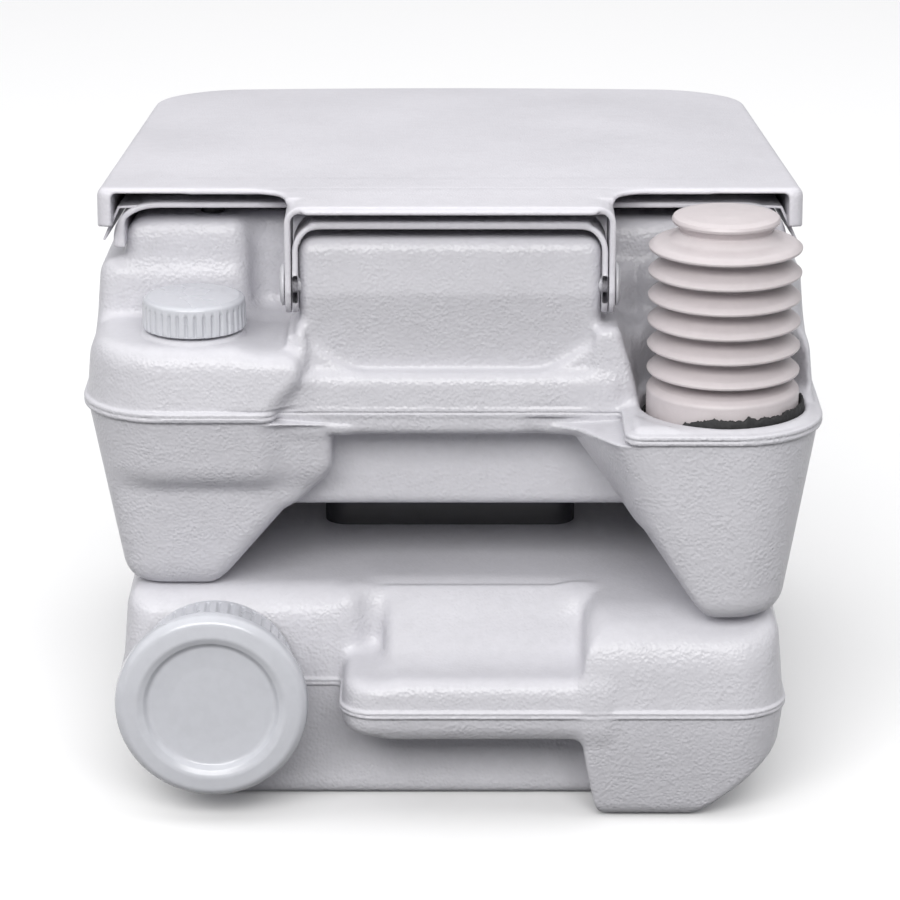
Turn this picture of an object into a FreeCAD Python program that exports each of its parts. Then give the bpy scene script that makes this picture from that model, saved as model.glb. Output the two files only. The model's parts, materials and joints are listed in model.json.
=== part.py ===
"""Portable camp toilet: a fresh-water tank with bowl, seat, lid and bellows flush pump, standing on a
waste tank with a slide valve and a capped pouring spout.

Frame, in millimetres: +Z up, +X to the right and +Y away from somebody who faces the hinge side, so +Y is
the side where the user's knees are. The origin is the middle of the footprint, on the floor.
"""

import math
import os

import FreeCAD
import Part

V = FreeCAD.Vector

# ---- driving dimensions -------------------------------------------------------------------------------

WALL = 3.0  # blow-moulded tank wall
BAND_OUT = 1.8  # how far a weld seam stands out of its tank
BAND_HALF = 2.3  # half the height of a weld seam
FIT = 0.3  # clearance between bodies that only touch

# Fresh-water (upper) tank
SEAM_Z = 202.5
TANK_HALF_X = 181.2
TANK_FRONT_Y = 205.7  # the knees' side
PUMP_FACE_Y = -205.7  # hinge side, right: the pump's corner stands furthest out
FILL_FACE_Y = -169.2  # hinge side, left: below the filler cap
GRIP_FACE_Y = -159.2  # hinge side, middle: the carrying grip
STEP_LEFT_X = -87.0
STEP_RIGHT_X = 86.0
CORNER_REAR_R = 42.0
CORNER_FRONT_R = 70.0
LEG_FOOT_Z = 106.0 + FIT
LEG_DRAFT = 15.0  # how far the walls draw in between the seam and the feet
TUNNEL_Z = 146.0  # underside of the tank between its legs
GRIP_BACK_Y = -135.0
GRIP_Z = (TUNNEL_Z, 188.0)
LEFT_LEG_Y = -156.0  # hinge side of the left leg, set back to clear the spout cap
LEFT_LEG_TOP_Z = 168.0
SHELF_Z = 236.0  # filler cap's shelf
SHELF_BACK_Y = -100.0
LEDGE_Z = 224.0  # top of the carrying grip
BLOCK_HALF_X = 73.0  # hinge block
BLOCK_Y = -156.0
CHEEK_X = (72.0, 84.0)  # low wall between the grip and the pump
SHOULDER_DRAFT = 5.0

# The deck carries the seat and slopes down towards the knees
DECK_Y = -120.0
DECK_Z = 287.0
DECK_TILT = 3.6
DECK_HALF_X = (158.0, 150.0)  # at the hinge side and at the knees' side
DECK_FRONT_Y = 188.0
SHOULDER_DROP = 21.0

# Bowl
BOWL_Y = 34.0
BOWL_TOP = (90.0, 114.0)  # half-widths of the bowl's mouth along X and Y
BOWL_WALL = 2.6
FLANGE_T = 2.2
OUTLET_R = 42.0
NOZZLE_Z = 268.0
NOZZLE_R = 6.0
OUTLET_Z = 119.0

# Flush pump
PUMP_XY = (134.0, -158.0)
HOSE_Z = 184.0
WELL_R = 40.5
WELL_RIM_Z = 208.5
WELL_FLOOR_Z = 193.0
POCKET_R = 47.0
BELLOWS_R = 37.5
BELLOWS_NECK_R = 27.0
BELLOWS_WALL = 1.8
BELLOWS_Z = (201.0, 294.0)
FOLDS = 6
FOLD_PITCH = 12.3
BUTTON_R = 25.5
BUTTON_TOP_Z = 302.0

# Filler cap
FILL_XY = (-127.0, -132.0)
FILL_CAP_R = 26.0
FILL_CAP_H = 15.5

# Hinge of seat and lid
PIVOT_Y = -150.0
PIVOT_Z = 265.5
PIN_R = 4.0
EAR_R = 13.0
SEAT_EAR_X = (74.0, 76.8)
LID_EAR_X = (77.3, 80.3)
PIN_HEAD_X = (80.8, 83.3)
PIN_HEAD_R = 10.5

# Seat and lid, in the deck's own level frame: z is 0 on the deck
SEAT_HALF_X = (167.0, 158.0)
SEAT_Y = (-110.0, 196.0)
SEAT_TOP = 10.0
SEAT_T = 3.0
SEAT_SKIRT = 13.0
SEAT_HOLE = (82.0, 106.0)
LID_HALF_X = (175.0, 166.0)
LID_Y = (-120.0, 206.0)
LID_TOP = 18.6
LID_T = 2.6
LID_SKIRT = 20.0
TAB_Y = (-158.0, -168.6)  # near edges of the seat's and the lid's hinge tabs

# Waste (lower) tank
LOW_SEAM_Z = 59.0
LOW_BAND_OUT = 1.2
LOW_BAND_HALF = 1.4
LOW_HALF_X = 166.5
LOW_FRONT_Y = 198.0
LOW_FACE_Y = -202.0  # right block and grip bar
NICHE_Y = -156.0  # wall behind the spout cap and under the grip bar
LOW_TOP_Z = 106.0
BAR_X = (-54.0, 65.0)
BAR_Z = (45.0, 75.0)
SCOOP_X = (-34.0, 60.0)
SCOOP_Y = (-186.0, -148.0)
SCOOP_Z = 75.0
CHAMFER = (36.0, 31.0)  # bottom edges along both sides, X and Z

# Spout
SPOUT_XZ = (-118.0, 63.0)
SPOUT_R = 33.0
CAP_RIM_R = 48.0
CAP_SKIRT_R = 41.5
CAP_FACE_Y = -203.0
CAP_BACK_Y = -161.0

# Slide valve
VALVE_XY = (0.0, BOWL_Y)
VALVE_HALF = (66.0, 84.0)
VALVE_Z = (LOW_TOP_Z, 118.0)
BLADE_T = 3.0
BLADE_HALF_X = 50.0
BLADE_Z = 110.5
BLADE_REAR = 44.0
BLADE_FRONT = 50.0
VALVE_HOLE_R = 38.0
SCREW_R = 1.8
HANDLE_HALF_X = 44.0
HANDLE_Y = (186.0, 205.0)
HANDLE_Z = (106.5, 129.0)

# Side latches
LATCH_Y = (-22.0, 22.0)
LATCH_PIN_Z = 86.0
LATCH_PIN_X = 169.5

# ---- helpers ------------------------------------------------------------------------------------------


def box(x, y, z):
    """A box from three (low, high) pairs."""
    return Part.makeBox(x[1] - x[0], y[1] - y[0], z[1] - z[0], V(x[0], y[0], z[0]))


def disc(r, z0, z1, xy=(0.0, 0.0), r_top=None):
    """An upright cylinder, or a cone if r_top is given."""
    if r_top is None:
        return Part.makeCylinder(r, z1 - z0, V(xy[0], xy[1], z0))
    return Part.makeCone(r, r_top, z1 - z0, V(xy[0], xy[1], z0))


def tube(r_out, r_in, z0, z1, xy=(0.0, 0.0)):
    return disc(r_out, z0, z1, xy).cut(disc(r_in, z0 - 1, z1 + 1, xy))


def along_y(r, y0, y1, xz):
    """A cylinder along Y."""
    return Part.makeCylinder(r, y1 - y0, V(xz[0], y0, xz[1]), V(0, 1, 0))


def along_x(r, x0, x1, yz):
    """A cylinder along X."""
    return Part.makeCylinder(r, x1 - x0, V(x0, yz[0], yz[1]), V(1, 0, 0))


def inset_corners(points, inset):
    """The corners of a counter-clockwise polygon whose sides have all moved inwards by inset."""
    moved = []
    n = len(points)
    for i in range(n):
        (ax, ay), (bx, by), (cx, cy) = points[i - 1], points[i], points[(i + 1) % n]
        d1 = V(bx - ax, by - ay, 0).normalize()
        d2 = V(cx - bx, cy - by, 0).normalize()
        n1, n2 = V(-d1.y, d1.x, 0), V(-d2.y, d2.x, 0)
        share = inset / (1 + n1.dot(n2))
        moved.append((bx + (n1.x + n2.x) * share, by + (n1.y + n2.y) * share))
    return moved


def outline(corners, z, inset=0.0):
    """A closed wire at height z of (x, y, radius) corners, counter-clockwise, every side moved in by inset."""
    points = inset_corners([(x, y) for x, y, _ in corners], inset)
    edges, ends = [], []
    n = len(points)
    for i in range(n):
        a, b, c = V(*points[i - 1], z), V(*points[i], z), V(*points[(i + 1) % n], z)
        u, w = (a - b).normalize(), (c - b).normalize()
        convex = (b - a).cross(c - b).z > 0
        radius = max(corners[i][2] - inset, 1.0) if convex else corners[i][2] + inset
        half = math.acos(max(-1.0, min(1.0, u.dot(w)))) / 2
        reach = radius / math.tan(half)
        middle = b + (u + w).normalize() * (radius / math.sin(half) - radius)
        ends.append((b + u * reach, middle, b + w * reach))
    for i in range(n):
        start, middle, end = ends[i]
        edges.append(Part.Arc(start, middle, end).toShape())
        edges.append(Part.LineSegment(end, ends[(i + 1) % n][0]).toShape())
    return Part.Wire(edges)


def prism(corners, z0, z1, inset=0.0):
    """An upright prism of an outline."""
    return Part.Face(outline(corners, z0, inset)).extrude(V(0, 0, z1 - z0))


def taper(corners, z0, z1, inset0, inset1):
    """A solid between two insets of one outline."""
    return Part.makeLoft([outline(corners, z0, inset0), outline(corners, z1, inset1)], True, True)


def extrude_xz(points, y0, y1):
    """A polygon in the XZ plane, extruded along Y."""
    wire = Part.makePolygon([V(x, y0, z) for x, z in points + points[:1]])
    return Part.Face(wire).extrude(V(0, y1 - y0, 0))


def extrude_yz(points, x0, x1):
    """A polygon in the YZ plane, extruded along X."""
    wire = Part.makePolygon([V(x0, y, z) for y, z in points + points[:1]])
    return Part.Face(wire).extrude(V(x1 - x0, 0, 0))


def turned(profile, xy=(0.0, 0.0)):
    """A closed (r, z) profile turned about an upright axis."""
    wire = Part.makePolygon([V(xy[0] + r, xy[1], z) for r, z in profile + profile[:1]])
    return Part.Face(wire).revolve(V(xy[0], xy[1], 0), V(0, 0, 1), 360)


def turned_y(profile, xz):
    """A closed (r, y) profile turned about an axis along Y."""
    wire = Part.makePolygon([V(xz[0] + r, y, xz[1]) for r, y in profile + profile[:1]])
    return Part.Face(wire).revolve(V(xz[0], 0, xz[1]), V(0, 1, 0), 360)


def oval(half_x, half_y, z, centre_y):
    """A closed elliptical wire at height z."""
    if half_y >= half_x:
        curve = Part.Ellipse(V(0, centre_y + half_y, z), V(half_x, centre_y, z), V(0, centre_y, z))
    else:
        curve = Part.Ellipse(V(half_x, centre_y, z), V(0, centre_y + half_y, z), V(0, centre_y, z))
    return Part.Wire([curve.toShape()])


def oval_prism(half, z0, z1, centre_y):
    return Part.Face(oval(half[0], half[1], z0, centre_y)).extrude(V(0, 0, z1 - z0))


def bent_tube(corners, radii, r_out, r_in):
    """A tube through straight runs whose corners are rounded by radii."""
    edges, start = [], corners[0]
    for i, radius in enumerate(radii, 1):
        before = (corners[i - 1] - corners[i]).normalize()
        after = (corners[i + 1] - corners[i]).normalize()
        half = before.getAngle(after) / 2
        reach = radius / math.tan(half)
        middle = corners[i] + (before + after).normalize() * (radius / math.sin(half) - radius)
        bend = (corners[i] + before * reach, corners[i] + after * reach)
        edges += [Part.makeLine(start, bend[0]), Part.Arc(bend[0], middle, bend[1]).toShape()]
        start = bend[1]
    edges.append(Part.makeLine(start, corners[-1]))
    spine = Part.Wire(edges)
    heading = corners[1] - corners[0]
    rings = [Part.Wire([Part.Circle(corners[0], heading, r).toShape()]) for r in (r_out, r_in)]
    outer, bore = [spine.makePipeShell([ring], True, True) for ring in rings]
    return outer.cut(bore)


def mirrored(shape):
    """The same shape on the other side, left for right."""
    return shape.mirror(V(0, 0, 0), V(1, 0, 0))


def joined(*shapes):
    solid = shapes[0]
    for other in shapes[1:]:
        solid = solid.fuse(other)
    return solid.removeSplitter()


def rounded(shape, radius, wanted):
    """Fillets the edges whose midpoint satisfies wanted(point, edge)."""
    picked = []
    for edge in shape.Edges:
        first, last = edge.ParameterRange
        if wanted(edge.valueAt((first + last) / 2), edge):
            picked.append(edge)
    return shape.makeFillet(radius, picked) if picked else shape


def on_deck(shape):
    """Tips a shape made in the deck's level frame onto the sloping deck."""
    placed = shape.copy()
    placed.translate(V(0, 0, DECK_Z))
    placed.rotate(V(0, DECK_Y, DECK_Z), V(1, 0, 0), -DECK_TILT)
    return placed


def pivot_in_deck_frame():
    """The hinge axis as (y, z) in the deck's level frame."""
    tilt = math.radians(DECK_TILT)
    y, z = PIVOT_Y - DECK_Y, PIVOT_Z - DECK_Z
    return (
        DECK_Y + y * math.cos(tilt) - z * math.sin(tilt),
        y * math.sin(tilt) + z * math.cos(tilt),
    )


def above_deck(drop):
    """A slab whose underside is the deck's plane, lowered by drop."""
    slab = box((-400, 400), (-400, 400), (0, 200))
    slab.translate(V(0, 0, -drop))
    return on_deck(slab)


# ---- fresh-water tank ---------------------------------------------------------------------------------


def tank_corners():
    return [
        (-TANK_HALF_X, FILL_FACE_Y, CORNER_REAR_R),
        (STEP_LEFT_X, FILL_FACE_Y, 6.0),
        (STEP_LEFT_X, GRIP_FACE_Y, 5.0),
        (STEP_RIGHT_X, GRIP_FACE_Y, 6.0),
        (STEP_RIGHT_X, PUMP_FACE_Y, 8.0),
        (TANK_HALF_X, PUMP_FACE_Y, CORNER_REAR_R),
        (TANK_HALF_X, TANK_FRONT_Y, CORNER_FRONT_R),
        (-TANK_HALF_X, TANK_FRONT_Y, CORNER_FRONT_R),
    ]


def deck_corners():
    rear, front = DECK_HALF_X
    return [
        (-rear, SHELF_BACK_Y - 90, 14.0),
        (rear, SHELF_BACK_Y - 90, 14.0),
        (front, DECK_FRONT_Y, 60.0),
        (-front, DECK_FRONT_Y, 60.0),
    ]


def tank_upper_half(wall):
    """The space above the seam that lies at least wall inside the outer skin."""
    top = 300.0
    shoulder = taper(tank_corners(), SEAM_Z, top, wall, wall + SHOULDER_DRAFT * (top - SEAM_Z) / 60)
    shoulder = shoulder.cut(above_deck(SHOULDER_DROP + wall))
    deck = prism(deck_corners(), SEAM_Z, top, wall).cut(above_deck(wall))
    deck = deck.cut(box((-300, 300), (-300, BLOCK_Y + wall), (150, 320)))
    half = joined(shoulder, deck)
    low, high, far = -300.0, 300.0, 330.0
    shelf = box((low, -BLOCK_HALF_X + wall), (low, SHELF_BACK_Y + wall), (SHELF_Z - wall, far))
    ledge = box((-70.0 - wall, CHEEK_X[0] + wall), (low, BLOCK_Y + wall), (LEDGE_Z - wall, far))
    cheek = box((CHEEK_X[0] - 2, high), (low, BLOCK_Y + wall), (SHELF_Z + 2 - wall, far))
    gap = box((BLOCK_HALF_X - wall, high), (low, -112.0 + wall), (SHELF_Z + 2 - wall, far))
    pump_back = disc(POCKET_R + wall, WELL_RIM_Z - wall, far, PUMP_XY)
    pump_side = box((CHEEK_X[1] - wall, high), (low, PUMP_XY[1] + wall), (WELL_RIM_Z - wall, far))
    pump_corner = box((PUMP_XY[0], high), (low, -140.0 + wall), (WELL_RIM_Z - wall, far))
    for space in (shelf, ledge, cheek, gap, pump_back, pump_side, pump_corner):
        half = half.cut(space)
    return half


def tank_lower_half(wall):
    """The space below the seam that lies at least wall inside the outer skin."""
    foot = LEG_FOOT_Z + wall
    half = taper(tank_corners(), foot, SEAM_Z, wall + LEG_DRAFT, wall)
    tunnel = [
        (-124 - wall, 90), (-120 - wall, LEG_FOOT_Z), (-89 - wall, TUNNEL_Z + wall),
        (95 + wall, TUNNEL_Z + wall), (125 + wall, LEG_FOOT_Z), (129 + wall, 90),
    ]
    half = half.cut(extrude_xz(tunnel, -300, 300))
    grip = [
        (-89 - wall, GRIP_Z[0] - 1), (-61 - wall, 170.0), (-58 - wall, GRIP_Z[1] + wall),
        (66 + wall, GRIP_Z[1] + wall), (95 + wall, GRIP_Z[0] - 1),
    ]
    half = half.cut(extrude_xz(grip, -300, GRIP_BACK_Y + wall))
    left_leg = box((-300, -56.0 - wall), (-300, LEFT_LEG_Y + wall), (90, LEFT_LEG_TOP_Z + wall))
    return half.cut(left_leg)


def bowl_space(grow):
    """The bowl's outer surface grown by grow, from below the outlet to above the deck."""
    narrow, wide = OUTLET_R + grow, BOWL_WALL + grow
    sections = [
        (narrow, narrow, 90.0),
        (narrow, narrow, 150.0),
        (BOWL_TOP[0] - 30 + wide, BOWL_TOP[1] - 42 + wide, 178.0),
        (BOWL_TOP[0] - 10 + wide, BOWL_TOP[1] - 14 + wide, 222.0),
        (BOWL_TOP[0] + wide, BOWL_TOP[1] + wide, 258.0),
        (BOWL_TOP[0] + wide, BOWL_TOP[1] + wide, 320.0),
    ]
    return Part.makeLoft([oval(hx, hy, z, BOWL_Y) for hx, hy, z in sections], True, True)


def pump_well():
    """The round socket that the pump stands in: its wall and its floor."""
    wall = tube(WELL_R + WALL, WELL_R, WELL_FLOOR_Z - WALL, WELL_RIM_Z, PUMP_XY)
    floor = tube(WELL_R + WALL, 27.0, WELL_FLOOR_Z - WALL, WELL_FLOOR_Z, PUMP_XY)
    return joined(wall, floor)


def fresh_tank():
    """The two welded shells of the fresh-water tank."""
    hole, hole_wall = bowl_space(1.0), bowl_space(1.0 + WALL)
    core = prism(tank_corners(), 190, 220, 0.5)
    outer = tank_upper_half(0.0)
    inner = tank_upper_half(WALL).cut(hole_wall).cut(disc(WELL_R + WALL, 150, 230, PUMP_XY))
    neck = disc(20.0, SHELF_Z - WALL, SHELF_Z + 9.0, FILL_XY)
    upper = outer.cut(disc(WELL_R + WALL, SEAM_Z - 5, 230, PUMP_XY)).cut(hole).cut(inner)
    upper = joined(upper, pump_well(), neck).cut(disc(16.5, 220, 260, FILL_XY))
    upper = joined(upper, prism(tank_corners(), SEAM_Z, SEAM_Z + BAND_HALF, -BAND_OUT).cut(core))
    for side in (-1, 1):
        inner_end, outer_end = sorted((side * 50.0, side * BLOCK_HALF_X))
        boss = along_x(8.0, inner_end, outer_end, (PIVOT_Y + 1.5, PIVOT_Z))
        upper = joined(upper, boss)
        low, high = sorted((side * 56.0, side * 90.0))
        upper = upper.cut(along_x(PIN_R, low, high, (PIVOT_Y, PIVOT_Z)))
    nozzle_hole = along_y(NOZZLE_R + 0.3, BOWL_Y - BOWL_TOP[1] - 12, BOWL_Y - BOWL_TOP[1], (0.0, NOZZLE_Z))
    upper = upper.cut(nozzle_hole)
    lower_inner = tank_lower_half(WALL).cut(hole_wall)
    lower = tank_lower_half(0.0).cut(hole).cut(lower_inner)
    lower = lower.cut(disc(WELL_R + WALL + 0.2, WELL_FLOOR_Z - WALL - 0.2, SEAM_Z + 1, PUMP_XY))
    band = prism(tank_corners(), SEAM_Z - BAND_HALF, SEAM_Z, -BAND_OUT).cut(core)
    return upper, joined(lower, band)


# ---- waste tank ---------------------------------------------------------------------------------------


def waste_corners():
    return [
        (-LOW_HALF_X, NICHE_Y, 24.0),
        (BAR_X[0], NICHE_Y, 8.0),
        (BAR_X[0], LOW_FACE_Y, 14.0),
        (LOW_HALF_X, LOW_FACE_Y, 26.0),
        (LOW_HALF_X, LOW_FRONT_Y, 60.0),
        (-LOW_HALF_X, LOW_FRONT_Y, 60.0),
    ]


def waste_upper_half(wall):
    """The space above the seam that lies at least wall inside the outer skin."""
    half = taper(waste_corners(), LOW_SEAM_Z, LOW_TOP_Z - wall, wall, wall + 4.0)
    slant = wall * math.sqrt(0.5)
    brow = [(-240, 88 - slant), (-202 + slant, 88 - slant), (-184 + slant, 106 - slant), (-184 + slant, 140)]
    brow.append((-240, 140))
    half = half.cut(extrude_yz(brow, -300, 300))
    low, high = SCOOP_Y[0] + 0.565 * wall, SCOOP_Y[1] + 0.565 * wall
    floor = SCOOP_Z - 0.825 * wall
    scoop = [(-240, floor), (low, floor), (high, floor + 26), (high, 140), (-240, 140)]
    return half.cut(extrude_yz(scoop, SCOOP_X[0] - wall, SCOOP_X[1] + wall))


def waste_lower_half(wall):
    """The space below the seam that lies at least wall inside the outer skin."""
    half = taper(waste_corners(), wall, LOW_SEAM_Z, wall + 10.0, wall)
    under = box((BAR_X[0] - 8, BAR_X[1] + wall), (-240, -166.0 + wall), (-10, BAR_Z[0] + wall))
    deeper = box((-35.0 - wall, BAR_X[1] - 4 + wall), (-240, -160.0 + wall), (-10, BAR_Z[0] - 3 + wall))
    half = half.cut(under).cut(deeper)
    run, rise = CHAMFER
    length = math.hypot(run, rise)
    dx, dz = wall * rise / length, wall * run / length
    edge = LOW_HALF_X + 4
    for side in (-1, 1):
        corner = [(edge - run - dx, -6 + dz), (edge - dx, rise - 3 + dz), (edge + 20, -40)]
        half = half.cut(extrude_xz([(side * x, z) for x, z in corner], -300, 300))
    return half


def waste_tank():
    """The two welded shells of the waste tank, with the spout's hole and the valve's hole."""
    spout_hole = along_y(SPOUT_R, NICHE_Y - 10, NICHE_Y + 16, SPOUT_XZ)
    seal_land = along_y(SPOUT_R + 7.5, NICHE_Y - 5, NICHE_Y, SPOUT_XZ)
    valve_hole = disc(VALVE_HOLE_R, LOW_TOP_Z - 20, LOW_TOP_Z + 20, VALVE_XY)
    upper = waste_upper_half(0.0).cut(waste_upper_half(WALL)).cut(valve_hole)
    lower = waste_lower_half(0.0).cut(waste_lower_half(WALL))
    core = prism(waste_corners(), 40, 80, 0.5)
    band = prism(waste_corners(), LOW_SEAM_Z, LOW_SEAM_Z + LOW_BAND_HALF, -LOW_BAND_OUT).cut(core)
    upper = joined(upper, band)
    band = prism(waste_corners(), LOW_SEAM_Z - LOW_BAND_HALF, LOW_SEAM_Z, -LOW_BAND_OUT).cut(core)
    lower = joined(lower, band)
    for place in valve_screw_places():
        upper = upper.cut(disc(SCREW_R, LOW_TOP_Z - 10, LOW_TOP_Z + 1, place))
    return upper.cut(spout_hole).cut(seal_land), lower.cut(spout_hole).cut(seal_land)


# ---- slide valve --------------------------------------------------------------------------------------


def valve_screw_places():
    x, y = VALVE_XY
    return [(x + sx * 58.5, y + sy * 76.0) for sx in (-1, 1) for sy in (-1, 1)]


def valve_screw(place):
    """A slotted screw through the frame into the waste tank."""
    x, y = place
    high = VALVE_Z[1]
    shank = disc(SCREW_R, LOW_TOP_Z - 7, high, place)
    slot = box((x - 4, x + 4), (y - 0.5, y + 0.5), (high + 1.2, high + 3))
    return shank.fuse(disc(3.6, high, high + 2.2, place).cut(slot))


def valve_blade():
    """The sliding blade with the stem that carries its handle."""
    y = VALVE_XY[1]
    top = BLADE_Z + BLADE_T
    blade = box((-BLADE_HALF_X, BLADE_HALF_X), (y - BLADE_REAR, y + BLADE_FRONT), (BLADE_Z, top))
    blade = rounded(
        blade, 12.0, lambda p, e: abs(p.x) > BLADE_HALF_X - 1 and abs(e.Vertexes[0].Z - e.Vertexes[-1].Z) > 1
    )
    stem = box((-17.0, 17.0), (y + BLADE_FRONT - 5, HANDLE_Y[0]), (BLADE_Z, top))
    return joined(blade, stem)


def valve_handle():
    """A pull handle, hollow underneath, that clips over the stem."""
    half, (near, far), (low, high) = HANDLE_HALF_X, HANDLE_Y, HANDLE_Z
    handle = box((-half, half), HANDLE_Y, HANDLE_Z)
    handle = rounded(handle, 5.0, lambda p, e: abs(p.x) > half - 1 or p.z > high - 1)
    handle = handle.cut(box((5 - half, half - 5), (near - 1, far - 5), (low - 1, high - 5)))
    bridge = box((-17.0, 17.0), (near, far - 5), (BLADE_Z, BLADE_Z + BLADE_T))
    return joined(handle, bridge)


def valve_parts():
    """The valve between the bowl and the waste tank: frame, seals, screws, blade and handle."""
    y = VALVE_XY[1]
    half_x, half_y = VALVE_HALF
    low, high = VALVE_Z
    corners = [(-half_x, y - half_y, 12.0), (half_x, y - half_y, 12.0)]
    corners += [(half_x, y + half_y, 12.0), (-half_x, y + half_y, 12.0)]
    slot_x = BLADE_HALF_X + FIT
    slot_z = (BLADE_Z - FIT, BLADE_Z + BLADE_T + FIT)
    blade_seal = tube(VALVE_HOLE_R + 5, VALVE_HOLE_R + 1.5, slot_z[1], slot_z[1] + 1.8, VALVE_XY)
    lip_groove = tube(OUTLET_R + 2, OUTLET_R - 3.5, high - 1.6, high + 1, VALVE_XY)
    frame = prism(corners, low, high)
    frame = frame.cut(disc(VALVE_HOLE_R, low - 1, high + 1, VALVE_XY))
    frame = frame.cut(box((-slot_x, slot_x), (y - BLADE_REAR - 1.0, y + half_y + 5), slot_z))
    frame = frame.cut(blade_seal).cut(lip_groove)
    for place in valve_screw_places():
        frame = frame.cut(disc(SCREW_R, low - 1, high + 1, place))
    return {
        "valve_frame": frame,
        "outlet_lip_seal": tube(OUTLET_R + 2, OUTLET_R - 3.5, high - 1.6, OUTLET_Z - FIT, VALVE_XY),
        "blade_seal": blade_seal,
        "valve_screws": Part.makeCompound([valve_screw(place) for place in valve_screw_places()]),
        "valve_blade": valve_blade(),
        "valve_handle": valve_handle(),
    }


# ---- spout --------------------------------------------------------------------------------------------


def ribbed_ring(count, r_out, depth):
    """The (x, y) points of a finely ribbed circle."""
    points = []
    for i in range(count):
        for share, r in ((0.0, r_out), (0.45, r_out), (0.55, r_out - depth), (0.9, r_out - depth)):
            angle = 2 * math.pi * (i + share) / count
            points.append((r * math.cos(angle), r * math.sin(angle)))
    return points


def ribbed_disc(count, r_out, depth, height):
    """A ribbed cylinder standing on the origin."""
    points = [V(x, y, 0) for x, y in ribbed_ring(count, r_out, depth)]
    return Part.Face(Part.makePolygon(points + points[:1])).extrude(V(0, 0, height))


def spout_parts():
    """The spout's neck with its seal, and its screw cap with its gasket."""
    neck_end = CAP_FACE_Y + 13.0
    bead = [(SPOUT_R - 0.5, CAP_BACK_Y - 6), (SPOUT_R + 1.6, CAP_BACK_Y - 8), (SPOUT_R - 0.5, CAP_BACK_Y - 10)]
    neck = along_y(SPOUT_R, neck_end, NICHE_Y + WALL + 4, SPOUT_XZ)
    neck = neck.fuse(along_y(SPOUT_R + 7, NICHE_Y - 3.2, NICHE_Y - 1.2, SPOUT_XZ))
    for shift in (0.0, -7.0, -14.0):
        neck = neck.fuse(turned_y([(r, y + shift) for r, y in bead], SPOUT_XZ))
    neck = neck.cut(along_y(SPOUT_R - 3, neck_end - 1, NICHE_Y + 20, SPOUT_XZ))
    seal = along_y(SPOUT_R + 6, NICHE_Y - 1.2, NICHE_Y, SPOUT_XZ)
    seal = seal.cut(along_y(SPOUT_R + 0.02, -200, -100, SPOUT_XZ))
    gasket = along_y(SPOUT_R + 1.5, neck_end - FIT - 2.4, neck_end - FIT, SPOUT_XZ)
    gasket = gasket.cut(along_y(SPOUT_R - 6, -210, -100, SPOUT_XZ))
    ceiling = neck_end - 2 * FIT - 2.4
    rim = CAP_FACE_Y + 11.5
    profile = [
        (0, CAP_FACE_Y + 4.5), (30.0, CAP_FACE_Y + 4.5), (33.5, CAP_FACE_Y),
        (43.5, CAP_FACE_Y), (46.6, CAP_FACE_Y + 1.6), (CAP_RIM_R, CAP_FACE_Y + 5.0),
        (CAP_RIM_R, rim - 2.5), (CAP_RIM_R - 2, rim), (0, rim),
    ]
    cap = turned_y(profile, SPOUT_XZ)
    skirt = ribbed_disc(44, CAP_SKIRT_R, 1.4, CAP_BACK_Y - rim)
    skirt.rotate(V(0, 0, 0), V(1, 0, 0), -90)
    skirt.translate(V(SPOUT_XZ[0], rim, SPOUT_XZ[1]))
    cap = cap.fuse(skirt).cut(along_y(SPOUT_R + 2.1, ceiling, CAP_BACK_Y + 5, SPOUT_XZ))
    return {"spout_neck": neck, "spout_neck_seal": seal, "spout_cap_gasket": gasket, "spout_cap": cap}


# ---- filler cap ---------------------------------------------------------------------------------------


def fill_parts():
    """The filler's screw cap with its gasket."""
    top = SHELF_Z + 9.0
    gasket = tube(20.6, 15.0, top + FIT, top + FIT + 2.0, FILL_XY)
    ceiling = top + 2 * FIT + 2.0
    low, high = SHELF_Z + 3.5, SHELF_Z + 3.5 + FILL_CAP_H
    cap = ribbed_disc(36, FILL_CAP_R, 1.1, high - low - 3.0)
    cap.translate(V(FILL_XY[0], FILL_XY[1], low))
    crown = turned(
        [(0, high - 3.4), (FILL_CAP_R, high - 3.4), (FILL_CAP_R, high - 1.6), (FILL_CAP_R - 1.4, high),
         (20.5, high), (19.5, high - 0.8), (0, high - 0.8)],
        FILL_XY,
    )
    cap = cap.fuse(crown)
    cap = cap.cut(disc(21.0, low - 1, ceiling, FILL_XY)).cut(disc(13.5, low - 1, high - 3.4, FILL_XY))
    return {"fill_cap_gasket": gasket, "fill_cap": cap}


# ---- flush pump ---------------------------------------------------------------------------------------


def bellows_profile():
    """Half of the bellows' section: umbrella folds over a straight foot."""
    low, high = BELLOWS_Z
    rims = [high - 7.0 - FOLD_PITCH * i for i in range(FOLDS)]
    out = [(BELLOWS_NECK_R - 3.0, high)]
    for z in rims:
        out += [(BELLOWS_NECK_R, z + 6.5), (BELLOWS_R, z + 1.0)]
        out += [(BELLOWS_R, z - 0.8), (BELLOWS_NECK_R, z - 4.0)]
    foot_top = rims[-1] - 8.5
    out += [(BELLOWS_NECK_R, foot_top + 2.5), (BELLOWS_R, foot_top), (BELLOWS_R, low)]
    t = BELLOWS_WALL
    back = [(BELLOWS_R - 2.4, low), (BELLOWS_R - 2.4, foot_top - 2.0), (BELLOWS_NECK_R - t, foot_top + 0.6)]
    for z in reversed(rims):
        back += [(BELLOWS_NECK_R - t, z - 5.2), (BELLOWS_R - 2.6, z - 0.3), (BELLOWS_NECK_R - t, z + 4.8)]
    back += [(BELLOWS_NECK_R - 3.0 - t, high)]
    return out + back


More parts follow.
